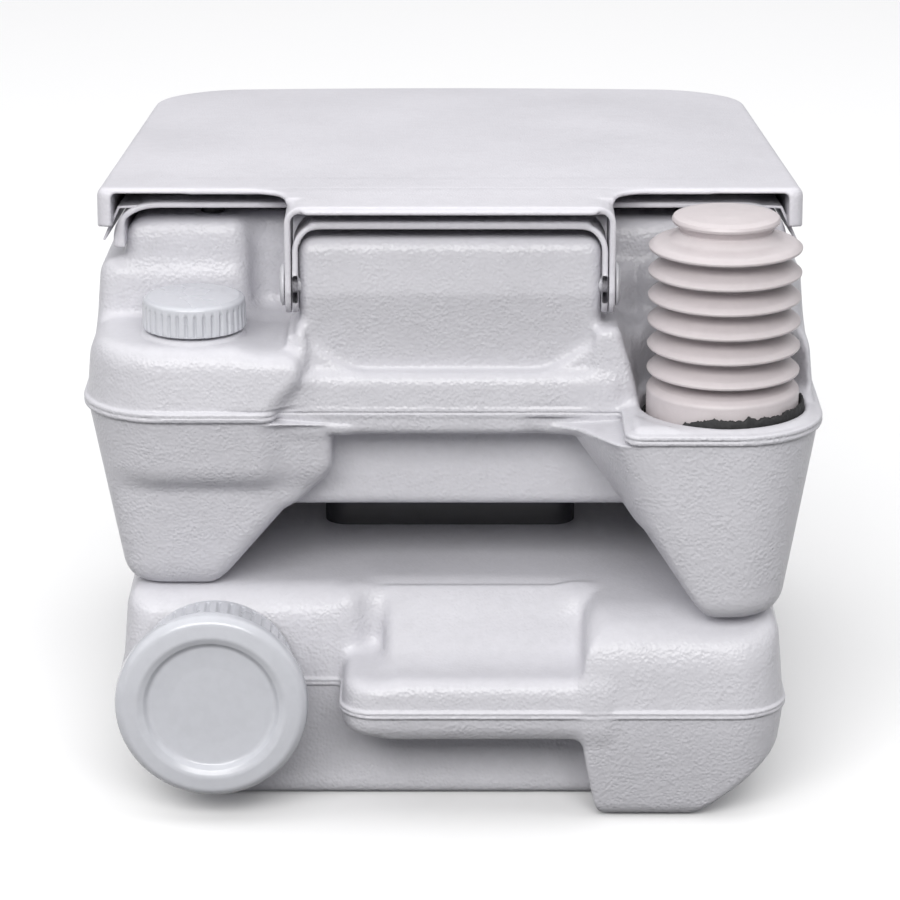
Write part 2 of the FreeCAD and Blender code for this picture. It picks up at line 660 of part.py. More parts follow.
def pump_parts():
    """The bellows pump: button, bellows, collar, valve body, flap and dip tube."""
    low, high = BELLOWS_Z
    bellows = turned(bellows_profile(), PUMP_XY)
    button = turned(
        [(0, high), (BUTTON_R - 1, high), (BUTTON_R, high + 1.0), (BUTTON_R, BUTTON_TOP_Z - 5),
         (BUTTON_R - 1, BUTTON_TOP_Z - 2.4), (BUTTON_R - 2.6, BUTTON_TOP_Z - 0.8), (BUTTON_R - 5, BUTTON_TOP_Z),
         (8, BUTTON_TOP_Z - 1), (0, BUTTON_TOP_Z - 1)],
        PUMP_XY,
    )
    button = joined(button, disc(BELLOWS_NECK_R - 3 - BELLOWS_WALL - FIT, high - 10, high, PUMP_XY))
    collar = turned(
        [(31.0, WELL_FLOOR_Z), (WELL_R - 0.4, WELL_FLOOR_Z), (WELL_R - 0.4, WELL_FLOOR_Z + 3),
         (BELLOWS_R, low - FIT), (31.0, low - FIT)],
        PUMP_XY,
    )
    body = disc(26.8, 176.0, WELL_FLOOR_Z, PUMP_XY).cut(disc(23.0, 179.0, WELL_FLOOR_Z + 1, PUMP_XY))
    body = body.fuse(tube(8.0, 5.0, 166.0, 176.0, PUMP_XY)).cut(disc(5.0, 160, 181, PUMP_XY))
    port = (PUMP_XY[0], HOSE_Z)
    body = body.fuse(along_y(5.5, PUMP_XY[1] + 24.0, PUMP_XY[1] + 36.0, port))
    body = body.cut(along_y(3.4, PUMP_XY[1] + 20.0, PUMP_XY[1] + 40.0, port))
    flap = disc(12.0, 179.4, 181.0, PUMP_XY)
    dip = tube(7.0, 5.0, 116.0, 166.0, PUMP_XY)
    return {
        "pump_bellows": bellows,
        "pump_button": button,
        "pump_collar": collar,
        "pump_valve_body": body,
        "pump_check_flap": flap,
        "pump_dip_tube": dip,
    }


def flush_parts():
    """The bowl, its spray nozzle and the hose from the pump."""
    bowl = bowl_space(0.0).cut(bowl_space(-BOWL_WALL))
    bowl = bowl.cut(box((-300, 300), (-300, 300), (0, OUTLET_Z))).cut(above_deck(-FLANGE_T))
    flange = on_deck(oval_prism((BOWL_TOP[0] + 12, BOWL_TOP[1] + 12), 0.0, FLANGE_T, BOWL_Y))
    bowl = joined(bowl, flange.cut(bowl_space(-BOWL_WALL / 2)))
    back = BOWL_Y - BOWL_TOP[1]
    axis = (0.0, NOZZLE_Z)
    bowl = bowl.cut(along_y(NOZZLE_R + 0.02, back - 12, back + 18, axis))
    nozzle = along_y(NOZZLE_R, back - 7, back + 9, axis)
    nozzle = nozzle.fuse(box((-16.0, 16.0), (back + 3.5, back + 9.0), (NOZZLE_Z - 6, NOZZLE_Z + 5)))
    nozzle = nozzle.cut(along_y(3.4, back - 8, back + 3, axis))
    nozzle = nozzle.cut(box((-13.5, 13.5), (back, back + 7.0), (NOZZLE_Z - 9, NOZZLE_Z - 3)))
    corners = [
        V(PUMP_XY[0], PUMP_XY[1] + 36.0, HOSE_Z),
        V(PUMP_XY[0], -96.0, HOSE_Z),
        V(PUMP_XY[0] - 26, -96.0, 244.0),
        V(0, -104.0, NOZZLE_Z),
        V(0, back - 7.0, NOZZLE_Z),
    ]
    hose = bent_tube(corners, (10.0, 22.0, 9.0), 5.5, 3.4)
    return {"bowl": bowl, "flush_nozzle": nozzle, "flush_hose": hose}


# ---- seat and lid -------------------------------------------------------------------------------------


def ear(side, x_range, top_z, y_range):
    """A flat hinge ear in the deck's frame, from the tab at top_z down round the hinge axis."""
    py, pz = pivot_in_deck_frame()
    low, high = sorted((side * x_range[0], side * x_range[1]))
    sides = [(y_range[0], top_z), (py - EAR_R, pz), (py + EAR_R, pz), (y_range[1], top_z)]
    blade = extrude_yz(sides, low, high)
    blade = blade.fuse(along_x(EAR_R, low, high, (py, pz)))
    return blade.cut(along_x(PIN_R + 0.08, low - 1, high + 1, (py, pz)))


def panel_corners(half_x, y_range, tab_x, tab_y, tab_r, rear_r, front_r):
    """The plan of a seat or a lid: two lobes at the hinge side with a tab between them."""
    rear, front = half_x
    return [
        (-rear, y_range[0], rear_r),
        (-tab_x, y_range[0], tab_r),
        (-tab_x, tab_y, 9.0),
        (tab_x, tab_y, 9.0),
        (tab_x, y_range[0], tab_r),
        (rear, y_range[0], rear_r),
        (front, y_range[1], front_r),
        (-front, y_range[1], front_r),
    ]


def shell_panel(corners, top, thickness, skirt, rear_y):
    """A plate with a skirt round its sides and front."""
    plate = prism(corners, top - thickness, top)
    skirts = prism(corners, top - skirt, top - 0.5).cut(prism(corners, top - skirt - 1, top, thickness))
    skirts = skirts.cut(box((-300, 300), (-300, rear_y), (-50, 50)))
    return joined(plate, skirts)


def buffers(places, z0, z1):
    return on_deck(Part.makeCompound([disc(6.0, z0, z1, xy, 5.0) for xy in places]))


def seat_and_lid():
    """The seat, the lid, and the soft buffers under each."""
    seat_tab, lid_tab = TAB_Y
    seat_plan = panel_corners(SEAT_HALF_X, SEAT_Y, SEAT_EAR_X[1], seat_tab, 12.0, 6.0, 52.0)
    lid_plan = panel_corners(LID_HALF_X, LID_Y, LID_EAR_X[1], lid_tab, 20.0, 5.0, 58.0)
    seat = shell_panel(seat_plan, SEAT_TOP, SEAT_T, SEAT_SKIRT, SEAT_Y[0] + 8)
    lip = oval_prism((SEAT_HOLE[0] + 2.5, SEAT_HOLE[1] + 2.5), -3.0, SEAT_TOP - 0.5, BOWL_Y)
    seat = joined(seat, lip).cut(oval_prism(SEAT_HOLE, -10, 30, BOWL_Y))
    lid = shell_panel(lid_plan, LID_TOP, LID_T, LID_SKIRT, LID_Y[0] + 4)
    for side in (-1, 1):
        seat = joined(seat, ear(side, SEAT_EAR_X, SEAT_TOP - 0.5, (seat_tab + 8, -134.0)))
        lid = joined(lid, ear(side, LID_EAR_X, LID_TOP - 0.5, (lid_tab + 8, -136.0)))
    seat_feet = [(-120, -80), (120, -80), (-112, 140), (112, 140)]
    lid_feet = [(-135, -76), (135, -76), (-128, 150), (128, 150)]
    return {
        "seat_ring": on_deck(seat),
        "lid_panel": on_deck(lid),
        "seat_buffers": buffers(seat_feet, FIT, SEAT_TOP - SEAT_T),
        "lid_buffers": buffers(lid_feet, SEAT_TOP + FIT, LID_TOP - LID_T),
    }


def hinge_pins():
    """The two headed pins that carry the ears of the seat and the lid."""
    parts = {}
    for name, side in (("hinge_pin_left", -1), ("hinge_pin_right", 1)):
        low, high = sorted((side * 56.0, side * PIN_HEAD_X[0]))
        shank = along_x(PIN_R, low, high, (PIVOT_Y, PIVOT_Z))
        low, high = sorted((side * PIN_HEAD_X[0], side * PIN_HEAD_X[1]))
        parts[name] = joined(shank, along_x(PIN_HEAD_R, low, high, (PIVOT_Y, PIVOT_Z)))
    return parts


# ---- side latches -------------------------------------------------------------------------------------


def latches():
    """A clip on each side of the waste tank that swings up beside the fresh-water tank's leg."""
    low, high = LATCH_Y
    pin = (LATCH_PIN_X, LATCH_PIN_Z)
    arm = extrude_xz(
        [(LATCH_PIN_X - 3.5, 83.0), (LATCH_PIN_X + 4.0, 83.0), (176.2, 108.0), (176.2, 127.0), (180.0, 131.5),
         (178.0, 133.0), (173.2, 128.5), (173.2, 109.0), (LATCH_PIN_X - 3.5, 89.0)],
        low, high,
    )
    arm = joined(arm, along_y(4.5, low, high, pin)).cut(along_y(2.06, low - 1, high + 1, pin))
    lugs = []
    edge = LATCH_PIN_X + 4.5
    for y0, y1 in ((low - 5.3, low - FIT), (high + FIT, high + 5.3)):
        lug = extrude_xz([(159.0, 78.0), (edge, 82.0), (edge, 90.0), (159.0, 96.0)], y0, y1)
        lugs.append(lug.cut(along_y(2.0, low - 10, high + 10, pin)))
    rod = along_y(2.0, low - 5.3, high + 5.3, pin)
    return arm, lugs, rod


# ---- assembly -----------------------------------------------------------------------------------------


def all_parts():
    """Every node's name with its shape."""
    upper, lower = fresh_tank()
    waste_top, waste_bottom = waste_tank()
    arm, lugs, rod = latches()
    core = waste_upper_half(WALL / 2)
    for lug in lugs:
        waste_top = joined(waste_top, lug.cut(core), mirrored(lug.cut(core)))
    parts = {
        "fresh_tank_top_shell": upper,
        "fresh_tank_bottom_shell": lower,
        "waste_tank_top_shell": waste_top,
        "waste_tank_bottom_shell": waste_bottom,
        "latch_right": arm,
        "latch_left": mirrored(arm),
        "latch_pins": Part.makeCompound([rod, mirrored(rod)]),
    }
    for group in (valve_parts, spout_parts, fill_parts, pump_parts, flush_parts, seat_and_lid, hinge_pins):
        parts.update(group())
    return parts


def main():
    os.makedirs("parts", exist_ok=True)
    for name, shape in sorted(all_parts().items()):
        shape.exportStep(os.path.join("parts", name + ".step"))
        print(f"{name:26s} valid {shape.isValid()} solids {len(shape.Solids)} {shape.Volume / 1000:8.1f} cm3")


main()
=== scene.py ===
import json
import math

import bmesh
import bpy
import numpy as np
from mathutils import Euler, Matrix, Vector, noise


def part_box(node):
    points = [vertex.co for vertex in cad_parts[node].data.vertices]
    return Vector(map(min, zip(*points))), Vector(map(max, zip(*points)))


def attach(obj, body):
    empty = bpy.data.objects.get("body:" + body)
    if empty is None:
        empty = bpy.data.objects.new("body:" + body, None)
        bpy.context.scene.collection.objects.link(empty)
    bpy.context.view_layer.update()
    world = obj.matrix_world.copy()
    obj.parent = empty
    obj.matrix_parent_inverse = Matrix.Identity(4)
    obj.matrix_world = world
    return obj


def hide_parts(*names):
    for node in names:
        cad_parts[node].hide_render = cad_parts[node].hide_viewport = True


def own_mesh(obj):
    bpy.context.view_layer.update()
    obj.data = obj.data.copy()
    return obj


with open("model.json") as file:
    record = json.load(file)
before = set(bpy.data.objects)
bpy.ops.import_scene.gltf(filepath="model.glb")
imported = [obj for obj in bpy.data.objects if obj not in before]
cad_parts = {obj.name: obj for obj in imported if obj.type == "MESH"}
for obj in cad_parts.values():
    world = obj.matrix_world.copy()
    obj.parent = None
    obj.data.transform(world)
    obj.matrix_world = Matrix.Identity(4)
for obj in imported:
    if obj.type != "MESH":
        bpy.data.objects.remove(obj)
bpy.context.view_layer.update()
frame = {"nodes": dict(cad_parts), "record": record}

MM = 0.001

# ---- soft-edged solids as distance fields, in millimetres --------------------------------------------------------


def smin(a, b, k):
    """The union of two fields with a fillet of about k."""
    h = np.clip(0.5 + 0.5 * (b - a) / k, 0.0, 1.0)
    return b + (a - b) * h - k * h * (1.0 - h)


def smax(a, b, k):
    return -smin(-a, -b, k)


def rect2(x, y, x0, x1, y0, y1, radii):
    """A rectangle whose corners have their own radii: rear left, rear right, front right, front left."""
    cx, cy = (x0 + x1) / 2, (y0 + y1) / 2
    px, py = x - cx, y - cy
    r = np.where(py < 0, np.where(px < 0, radii[0], radii[1]), np.where(px < 0, radii[3], radii[2]))
    qx = np.abs(px) - (x1 - x0) / 2 + r
    qy = np.abs(py) - (y1 - y0) / 2 + r
    return np.minimum(np.maximum(qx, qy), 0) + np.hypot(np.maximum(qx, 0), np.maximum(qy, 0)) - r


def box3(p, x, y, z, r=0.0):
    """A box from (low, high) pairs, with edges rounded by r."""
    qx = np.abs(p[0] - (x[0] + x[1]) / 2) - (x[1] - x[0]) / 2 + r
    qy = np.abs(p[1] - (y[0] + y[1]) / 2) - (y[1] - y[0]) / 2 + r
    qz = np.abs(p[2] - (z[0] + z[1]) / 2) - (z[1] - z[0]) / 2 + r
    inside = np.minimum(np.maximum(qx, np.maximum(qy, qz)), 0)
    return inside + np.sqrt(np.maximum(qx, 0) ** 2 + np.maximum(qy, 0) ** 2 + np.maximum(qz, 0) ** 2) - r


def poly2(u, v, points):
    """The signed distance to a polygon."""
    best = np.full(u.shape, 1e9)
    sign = np.ones(u.shape)
    n = len(points)
    for i in range(n):
        ax, ay = points[i]
        bx, by = points[i - 1]
        ex, ey = bx - ax, by - ay
        wx, wy = u - ax, v - ay
        t = np.clip((wx * ex + wy * ey) / (ex * ex + ey * ey), 0.0, 1.0)
        best = np.minimum(best, (wx - ex * t) ** 2 + (wy - ey * t) ** 2)
        above, below, left = v >= ay, v < by, ex * wy > ey * wx
        flip = (above & below & left) | (~above & ~below & ~left)
        sign = np.where(flip, -sign, sign)
    return sign * np.sqrt(best)


def ramp(t, a, b):
    """0 before a, 1 after b, smooth between."""
    s = np.clip((t - a) / (b - a), 0.0, 1.0)
    return s * s * (3 - 2 * s)


# ---- meshing ----------------------------------------------------------------------------------------------------
BLOCK = 12  # cells along one side of a sampling block
BATCH = 400000  # points worked out in one go


def linked(name, mesh):
    """A new object for a mesh, linked into the scene."""
    obj = bpy.data.objects.new(name, mesh)
    bpy.context.scene.collection.objects.link(obj)
    return obj


def axis_steps(spans):
    """Grid lines through (start, end, step) spans laid end to end."""
    lines = [spans[0][0]]
    for start, end, step in spans:
        count = max(1, int(round((end - start) / step)))
        lines += [start + (end - start) * (i + 1) / count for i in range(count)]
    return np.array(lines)


def sample(field, xs, ys, zs, reach):
    """The field on the grid, worked out finely only within reach of the surface."""
    nx, ny, nz = len(xs), len(ys), len(zs)
    grid = np.empty((nx, ny, nz), np.float32)
    starts = [list(range(0, n, BLOCK)) for n in (nx, ny, nz)]
    middles, slices, radii = [], [], []
    for i in starts[0]:
        for j in starts[1]:
            for k in starts[2]:
                s = tuple(slice(m, min(m + BLOCK, n)) for m, n in ((i, nx), (j, ny), (k, nz)))
                low = np.array([xs[s[0]][0], ys[s[1]][0], zs[s[2]][0]])
                high = np.array([xs[s[0]][-1], ys[s[1]][-1], zs[s[2]][-1]])
                middles.append((low + high) / 2)
                radii.append(np.linalg.norm(high - low) / 2)
                slices.append(s)
    middles, radii = np.array(middles), np.array(radii)
    values = field(middles.T)
    near = np.abs(values) < radii * 1.35 + reach
    batch, batch_slices, size = [], [], 0
    for index, s in enumerate(slices):
        if not near[index]:
            grid[s] = values[index]
            continue
        gx, gy, gz = np.meshgrid(xs[s[0]], ys[s[1]], zs[s[2]], indexing="ij")
        batch.append(np.stack([gx.ravel(), gy.ravel(), gz.ravel()]))
        batch_slices.append((s, gx.shape))
        size += gx.size
        if size > BATCH:
            fill(grid, field, batch, batch_slices)
            batch, batch_slices, size = [], [], 0
    fill(grid, field, batch, batch_slices)
    return grid


def fill(grid, field, batch, batch_slices):
    """Works out the field at a batch of points and puts the values into their blocks of the grid."""
    if not batch:
        return
    values = field(np.concatenate(batch, axis=1))
    start = 0
    for s, shape in batch_slices:
        count = shape[0] * shape[1] * shape[2]
        grid[s] = values[start:start + count].reshape(shape)
        start += count


def surface(grid, xs, ys, zs):
    """One vertex in each cell that the surface crosses, and one quad for each grid edge that it crosses."""
    inside = grid < 0
    nx, ny, nz = grid.shape
    total = np.zeros((nx - 1, ny - 1, nz - 1, 3), np.float32)
    count = np.zeros((nx - 1, ny - 1, nz - 1), np.int16)
    axes = (xs, ys, zs)
    quads = []
    for axis in range(3):
        a = [slice(None)] * 3
        b = [slice(None)] * 3
        a[axis], b[axis] = slice(0, -1), slice(1, None)
        cross = inside[tuple(a)] != inside[tuple(b)]
        i, j, k = np.nonzero(cross)
        index = [i, j, k]
        v0 = grid[tuple(a)][i, j, k]
        v1 = grid[tuple(b)][i, j, k]
        t = v0 / (v0 - v1)
        position = [axes[n][index[n]] for n in range(3)]
        line = axes[axis]
        position[axis] = line[index[axis]] + t * (line[index[axis] + 1] - line[index[axis]])
        o1, o2 = (axis + 1) % 3, (axis + 2) % 3
        for d1 in (0, -1):
            for d2 in (0, -1):
                cell = [c.copy() for c in index]
                cell[o1] += d1
                cell[o2] += d2
                ok = (cell[o1] >= 0) & (cell[o2] >= 0)
                ok &= (cell[o1] < grid.shape[o1] - 1) & (cell[o2] < grid.shape[o2] - 1)
                c = tuple(q[ok] for q in cell)
                np.add.at(total, c, np.stack([q[ok] for q in position], axis=1))
                np.add.at(count, c, 1)
        keep = (index[o1] > 0) & (index[o2] > 0)
        keep &= (index[o1] < grid.shape[o1] - 1) & (index[o2] < grid.shape[o2] - 1)
        cells = []
        for d1, d2 in ((0, 0), (-1, 0), (-1, -1), (0, -1)):
            cell = [q[keep].copy() for q in index]
            cell[o1] += d1
            cell[o2] += d2
            cells.append(cell)
        quads.append((cells, v0[keep] < 0))
    number = np.full(count.shape, -1, np.int64)
    used = count > 0
    number[used] = np.arange(used.sum())
    vertices = total[used] / count[used][:, None]
    faces = []
    for cells, forward in quads:
        corners = np.stack([number[tuple(c)] for c in cells], axis=1)
        faces.append(np.where(forward[:, None], corners, corners[:, ::-1]))
    return vertices.astype(float), np.concatenate(faces)


def settle(field, vertices, rounds=3):
    """Moves each vertex onto the field's zero."""
    step = 0.05
    for _ in range(rounds):
        p = vertices.T
        value = field(p)
        gradient = np.empty_like(vertices)
        for n in range(3):
            shift = np.zeros((3, 1))
            shift[n] = step
            gradient[:, n] = (field(p + shift) - field(p - shift)) / (2 * step)
        square = np.maximum((gradient ** 2).sum(1), 0.05)
        move = np.clip(value / square, -0.8, 0.8)
        vertices = vertices - gradient * move[:, None]
    return vertices


def field_mesh(name, field, spans, reach=2.0, rounds=2):
    """A smooth mesh object of a field."""
    xs, ys, zs = [axis_steps(s) for s in spans]
    grid = sample(field, xs, ys, zs, reach)
    vertices, faces = surface(grid, xs, ys, zs)
    vertices = settle(field, vertices, rounds)
    mesh = bpy.data.meshes.new(name)
    mesh.vertices.add(len(vertices))
    mesh.vertices.foreach_set("co", (vertices * MM).astype(np.float32).ravel())
    mesh.loops.add(faces.size)
    mesh.loops.foreach_set("vertex_index", faces.astype(np.int32).ravel())
    mesh.polygons.add(len(faces))
    mesh.polygons.foreach_set("loop_start", np.arange(0, faces.size, 4, dtype=np.int32))
    mesh.update(calc_edges=True)
    mesh.validate()
    mesh.shade_smooth()
    return linked(name, mesh)


# ---- places and sizes that the CAD gives ------------------------------------------------------------------------


def node_box(name):
    """A CAD node's (low, high) corners in millimetres."""
    low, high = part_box(name)
    return np.array(low) / MM, np.array(high) / MM


def middle(name):
    low, high = node_box(name)
    return (low + high) / 2


TANK_LOW, TANK_HIGH = node_box("fresh_tank_bottom_shell")
SEAM = TANK_HIGH[2]
FOOT = TANK_LOW[2]
BAND = 1.8  # how far a weld seam stands out
HALF_X = TANK_HIGH[0] - BAND
FRONT = TANK_HIGH[1] - BAND
PUMP_FACE = TANK_LOW[1] + BAND
PUMP = middle("pump_button")
FILL = middle("fill_cap")
SPOUT = middle("spout_cap")
PIVOT = middle("hinge_pin_right")
LOW_SEAM = node_box("waste_tank_bottom_shell")[1][2]
LOW_HALF_X = 166.5  # half the waste tank's width at its seam
FILL_FACE = PUMP_FACE + 36.5  # the hinge side below the filler cap
GRIP_FACE = PUMP_FACE + 46.5  # the hinge side at the carrying grip
LEFT_END, RIGHT_START = -87.0, 86.0  # where those two faces meet, and where the pump's part begins
TILT = math.radians(3.6)  # the deck, seat and lid fall towards the knees
DECK_Y, DECK_Z, DECK_SLOPE = -120.0, 287.0, math.tan(TILT)
GRIP_OUTLINE = [  # (x, z) outline of the recess for the hand, with the tunnel below it
    (-122, 96), (-113, 108), (-80, 148), (-70, 157), (-62, 165), (-58.5, 173), (-58.5, 189.5), (61.5, 189.5),
    (92, 148.5), (123, 106.5), (131, 96),
]
TUNNEL_OUTLINE = [(-122, 96), (-113, 108), (-82, 145.5), (94, 145.5), (123, 106.5), (131, 96)]
FAR = 400  # beyond every surface


def deck(y):
    """The height of the sloping deck."""
    return DECK_Z - (y - DECK_Y) * DECK_SLOPE


# ---- fresh-water tank -------------------------------------------------------------------------------------------


def tank_plan(x, y, left_end=LEFT_END, right_start=RIGHT_START, blend=3.0, right_blend=3.0, lead=0.0, ease=0.0):
    """The tank's outline: the left part, the middle and the pump's part stand out by different amounts. The blends
    are the fillets between them on the hinge side, lead moves the pump's face out and ease moves the left face in."""
    left = rect2(x, y, -HALF_X, left_end, FILL_FACE + ease, FRONT, (40, 7, 5, 70))
    centre = rect2(x, y, -100.0, 100.0, GRIP_FACE, FRONT, (4, 4, 4, 4))
    right = rect2(x, y, right_start, HALF_X, PUMP_FACE - lead, FRONT, (6, 43, 70, 6))
    near = ramp(-y, 40.0, 110.0)
    least = 0.3
    left_blend = least + (blend - least) * near
    right_blend = least + (right_blend - least) * near
    return smin(smin(left, centre, left_blend), right, right_blend)


def bowl_field(p, grow):
    """The bowl's outer surface, grown."""
    z = p[2]
    hx = np.interp(z, [150, 178, 222, 258], [42, 62.6, 82.6, 92.6]) + grow
    hy = np.interp(z, [150, 178, 222, 258], [42, 74.6, 102.6, 116.6]) + grow
    px, py = p[0] / hx, (p[1] - 34.0) / hy
    k0 = np.hypot(px, py)
    k1 = np.hypot(px / hx, py / hy)
    return k0 * (k0 - 1.0) / np.maximum(k1, 1e-6) * 0.85


def fresh_field(p):
    """The fresh-water tank with its deck, hinge block, legs, grip, pump socket and filler neck."""
    x, y, z = p
    below = np.maximum(SEAM - z, 0.0)
    above = np.maximum(z - SEAM, 0.0)
    inset = 18.0 * below / (SEAM - FOOT) + 5.0 * above / 60.0
    seam_plan = tank_plan(x, y) + inset
    left_end = LEFT_END + 15.0 * ramp(z, 203.0, 226.0)
    upper = tank_plan(x, y, left_end, RIGHT_START, 3.0 + 17.0 * ramp(z, 203.0, 207.0)) + inset
    under = ramp(-z, -199.5, -195.5)
    lead = 11.0 * below / (SEAM - FOOT)
    ease = 7.0 * ramp(x, -96.0, -78.0) * under
    right_blend = 3.0 + 12.0 * under
    left_end, right_start = LEFT_END + 42.0 * under, RIGHT_START - 36.0 * under
    lower = tank_plan(x, y, left_end, right_start, 3.0, right_blend, lead, ease) + inset
    plan = np.where(z > SEAM, upper, lower)
    top = z - (deck(y) - 21.0)
    body = smax(smax(plan, FOOT - z, 12.0), top, 9.0)
    # deck under the seat
    half = 163.0 - (y + 100.0) * 0.028
    d2 = rect2(x * 163.0 / np.maximum(half, 100), y, -164.5, 164.5, -104.0, 190.0, (7, 7, 58, 58))
    high = smax(smax(d2 + np.maximum(z - 262.0, 0.0) * 0.08, z - deck(y), 12.0), 225.0 - z, 4.0)
    solid = smin(body, high, 6.0)
    # shelf for the filler cap, and the hollow between it and the hinge block
    shelf = box3(p, (-FAR, -73), (-FAR, -104), (236.0, FAR), 4.0)
    solid = smax(solid, -shelf, 12.0)
    hollow = box3(p, (-100.0, -60.0), (-FAR, -88.0), (237.0, FAR), 8.0)
    solid = smax(solid, -hollow, 11.0)
    # room over the pump and over the carrying grip
    side = box3(p, (80.0, FAR), (-FAR, -156.0), (208.5, FAR), 2.0)
    solid = smax(solid, -side, 7.0)
    pocket = smax(np.hypot(x - PUMP[0], y - PUMP[1]) - 47.0, 208.5 - z, 4.0)
    solid = smax(solid, -pocket, 6.0)
    valley = box3(p, (60.0, FAR), (-FAR, -112.0), (240.0, FAR), 6.0)
    solid = smax(solid, -valley, 14.0)
    grip = box3(p, (-72.0, 90.0), (-FAR, -149.0), (221.0, FAR), 2.0)
    solid = smax(solid, -grip, 5.0)
    # hinge block on its ledge
    lean = np.clip(262.0 - z, 0, 42) * 0.2 + np.maximum(z - 262.0, 0) * 0.05
    block = box3((x, y - lean, z), (-74.0, 74.0), (-156.5, -60.0), (200.0, FAR), 6.0)
    block = smax(block, z - deck(y) - 0.6, 9.0)
    ledge = box3(p, (-84.0, 84.0), (GRIP_FACE - 0.5, -100.0), (190.0, 220.5), 5.0)
    step = np.abs(x) - 76.0 - np.clip(243.0 - z, 0, 30) * np.where(x > 0, 0.27, -0.1)
    cheek = box3(p, (-FAR, FAR), (GRIP_FACE + 1.0, -100.0), (190.0, 245.0), 5.0)
    cheek = smax(cheek, np.where(x > 0, step - 8.0, step), 5.0)
    cheek = smax(cheek, 71.0 - np.abs(x), 4.0)
    gusset = (z - 224.0) * 0.85 - (np.abs(x) - 52.0) * 0.53
    room = smax(smax(-155.0 - y, y + 110.0, 3.0), 205.0 - z, 3.0)
    gusset = smax(smax(gusset, np.abs(x) - 80.0, 3.0), room, 3.0)
    solid = smin(smin(smin(solid, ledge, 5.0), block, 5.0), smin(cheek, gusset, 4.0), 5.0)
    # carrying grip: recess in the middle of the hinge side, and the legs on both sides of it
    solid = smax(solid, -smax(poly2(x, z, GRIP_OUTLINE), y + 135.0, 6.0), 6.0)
    solid = smax(solid, -poly2(x, z, TUNNEL_OUTLINE), 7.0)
    # the right leg's face turns into the recess
    drop = np.clip((200.0 - z) / 85.0, 0.0, 1.2)
    turn = 0.84 * (x - 88.0 - 30.0 * drop) + 0.54 * (y + 209.0 - 6.0 * drop)
    bevel = smax(smax(turn, y + 162.5, 10.0), smax(z - 199.0, 44.0 - x, 3.0), 5.0)
    solid = smax(solid, -bevel, 11.0)
    # the left leg stands back under a soft shoulder
    back = box3((x, y - (162.0 - z) * 0.12, z), (-FAR, -50.0), (-FAR, -157.0), (60.0, 161.0), 3.0)
    solid = smax(solid, -back, 15.0)
    # weld seam: two flat ridges with a fine line between them
    bead = smax(seam_plan - BAND - 0.1, np.abs(z - SEAM - 0.2) - 2.6, 0.9)
    solid = smin(solid, smax(bead, -(seam_plan + 6.0), 1.0), 0.8)
    groove = smax(np.abs(seam_plan - BAND - 0.1) - 0.7, np.abs(z - SEAM - 0.2) - 0.45, 0.3)
    solid = np.maximum(solid, -groove)
    # pump socket, and the bowl's own space
    well = smax(np.hypot(x - PUMP[0], y - PUMP[1]) - 40.5, 193.0 - z, 1.5)
    solid = smax(solid, -well, 2.5)
    solid = np.maximum(solid, -bowl_field(p, 3.0))
    from_fill = np.hypot(x - FILL[0], y - FILL[1])
    seat_ring = smax(from_fill - 25.0, z - 237.8, 1.0)
    neck = smax(smax(from_fill - 20.0, z - 245.0, 1.0), 225.0 - z, 1.0)
    solid = smin(smin(solid, smax(seat_ring, 225.0 - z, 1.0), 1.5), neck, 1.0)
    return np.maximum(solid, -smax(from_fill - 16.5, 226.0 - z, 1.0))


coarse = 1.7
tank_spans = (
    [(-190, 190, coarse)],
    [(-213, -90, coarse * 0.85), (-90, 213, coarse * 1.3)],
    [(100, 197, coarse), (197, 210, 0.65), (210, 296, coarse)],
)
fresh = field_mesh("fresh_tank", fresh_field, tank_spans)
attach(fresh, "fresh_unit")
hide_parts("fresh_tank_top_shell", "fresh_tank_bottom_shell")

# ---- waste tank -------------------------------------------------------------------------------------------------


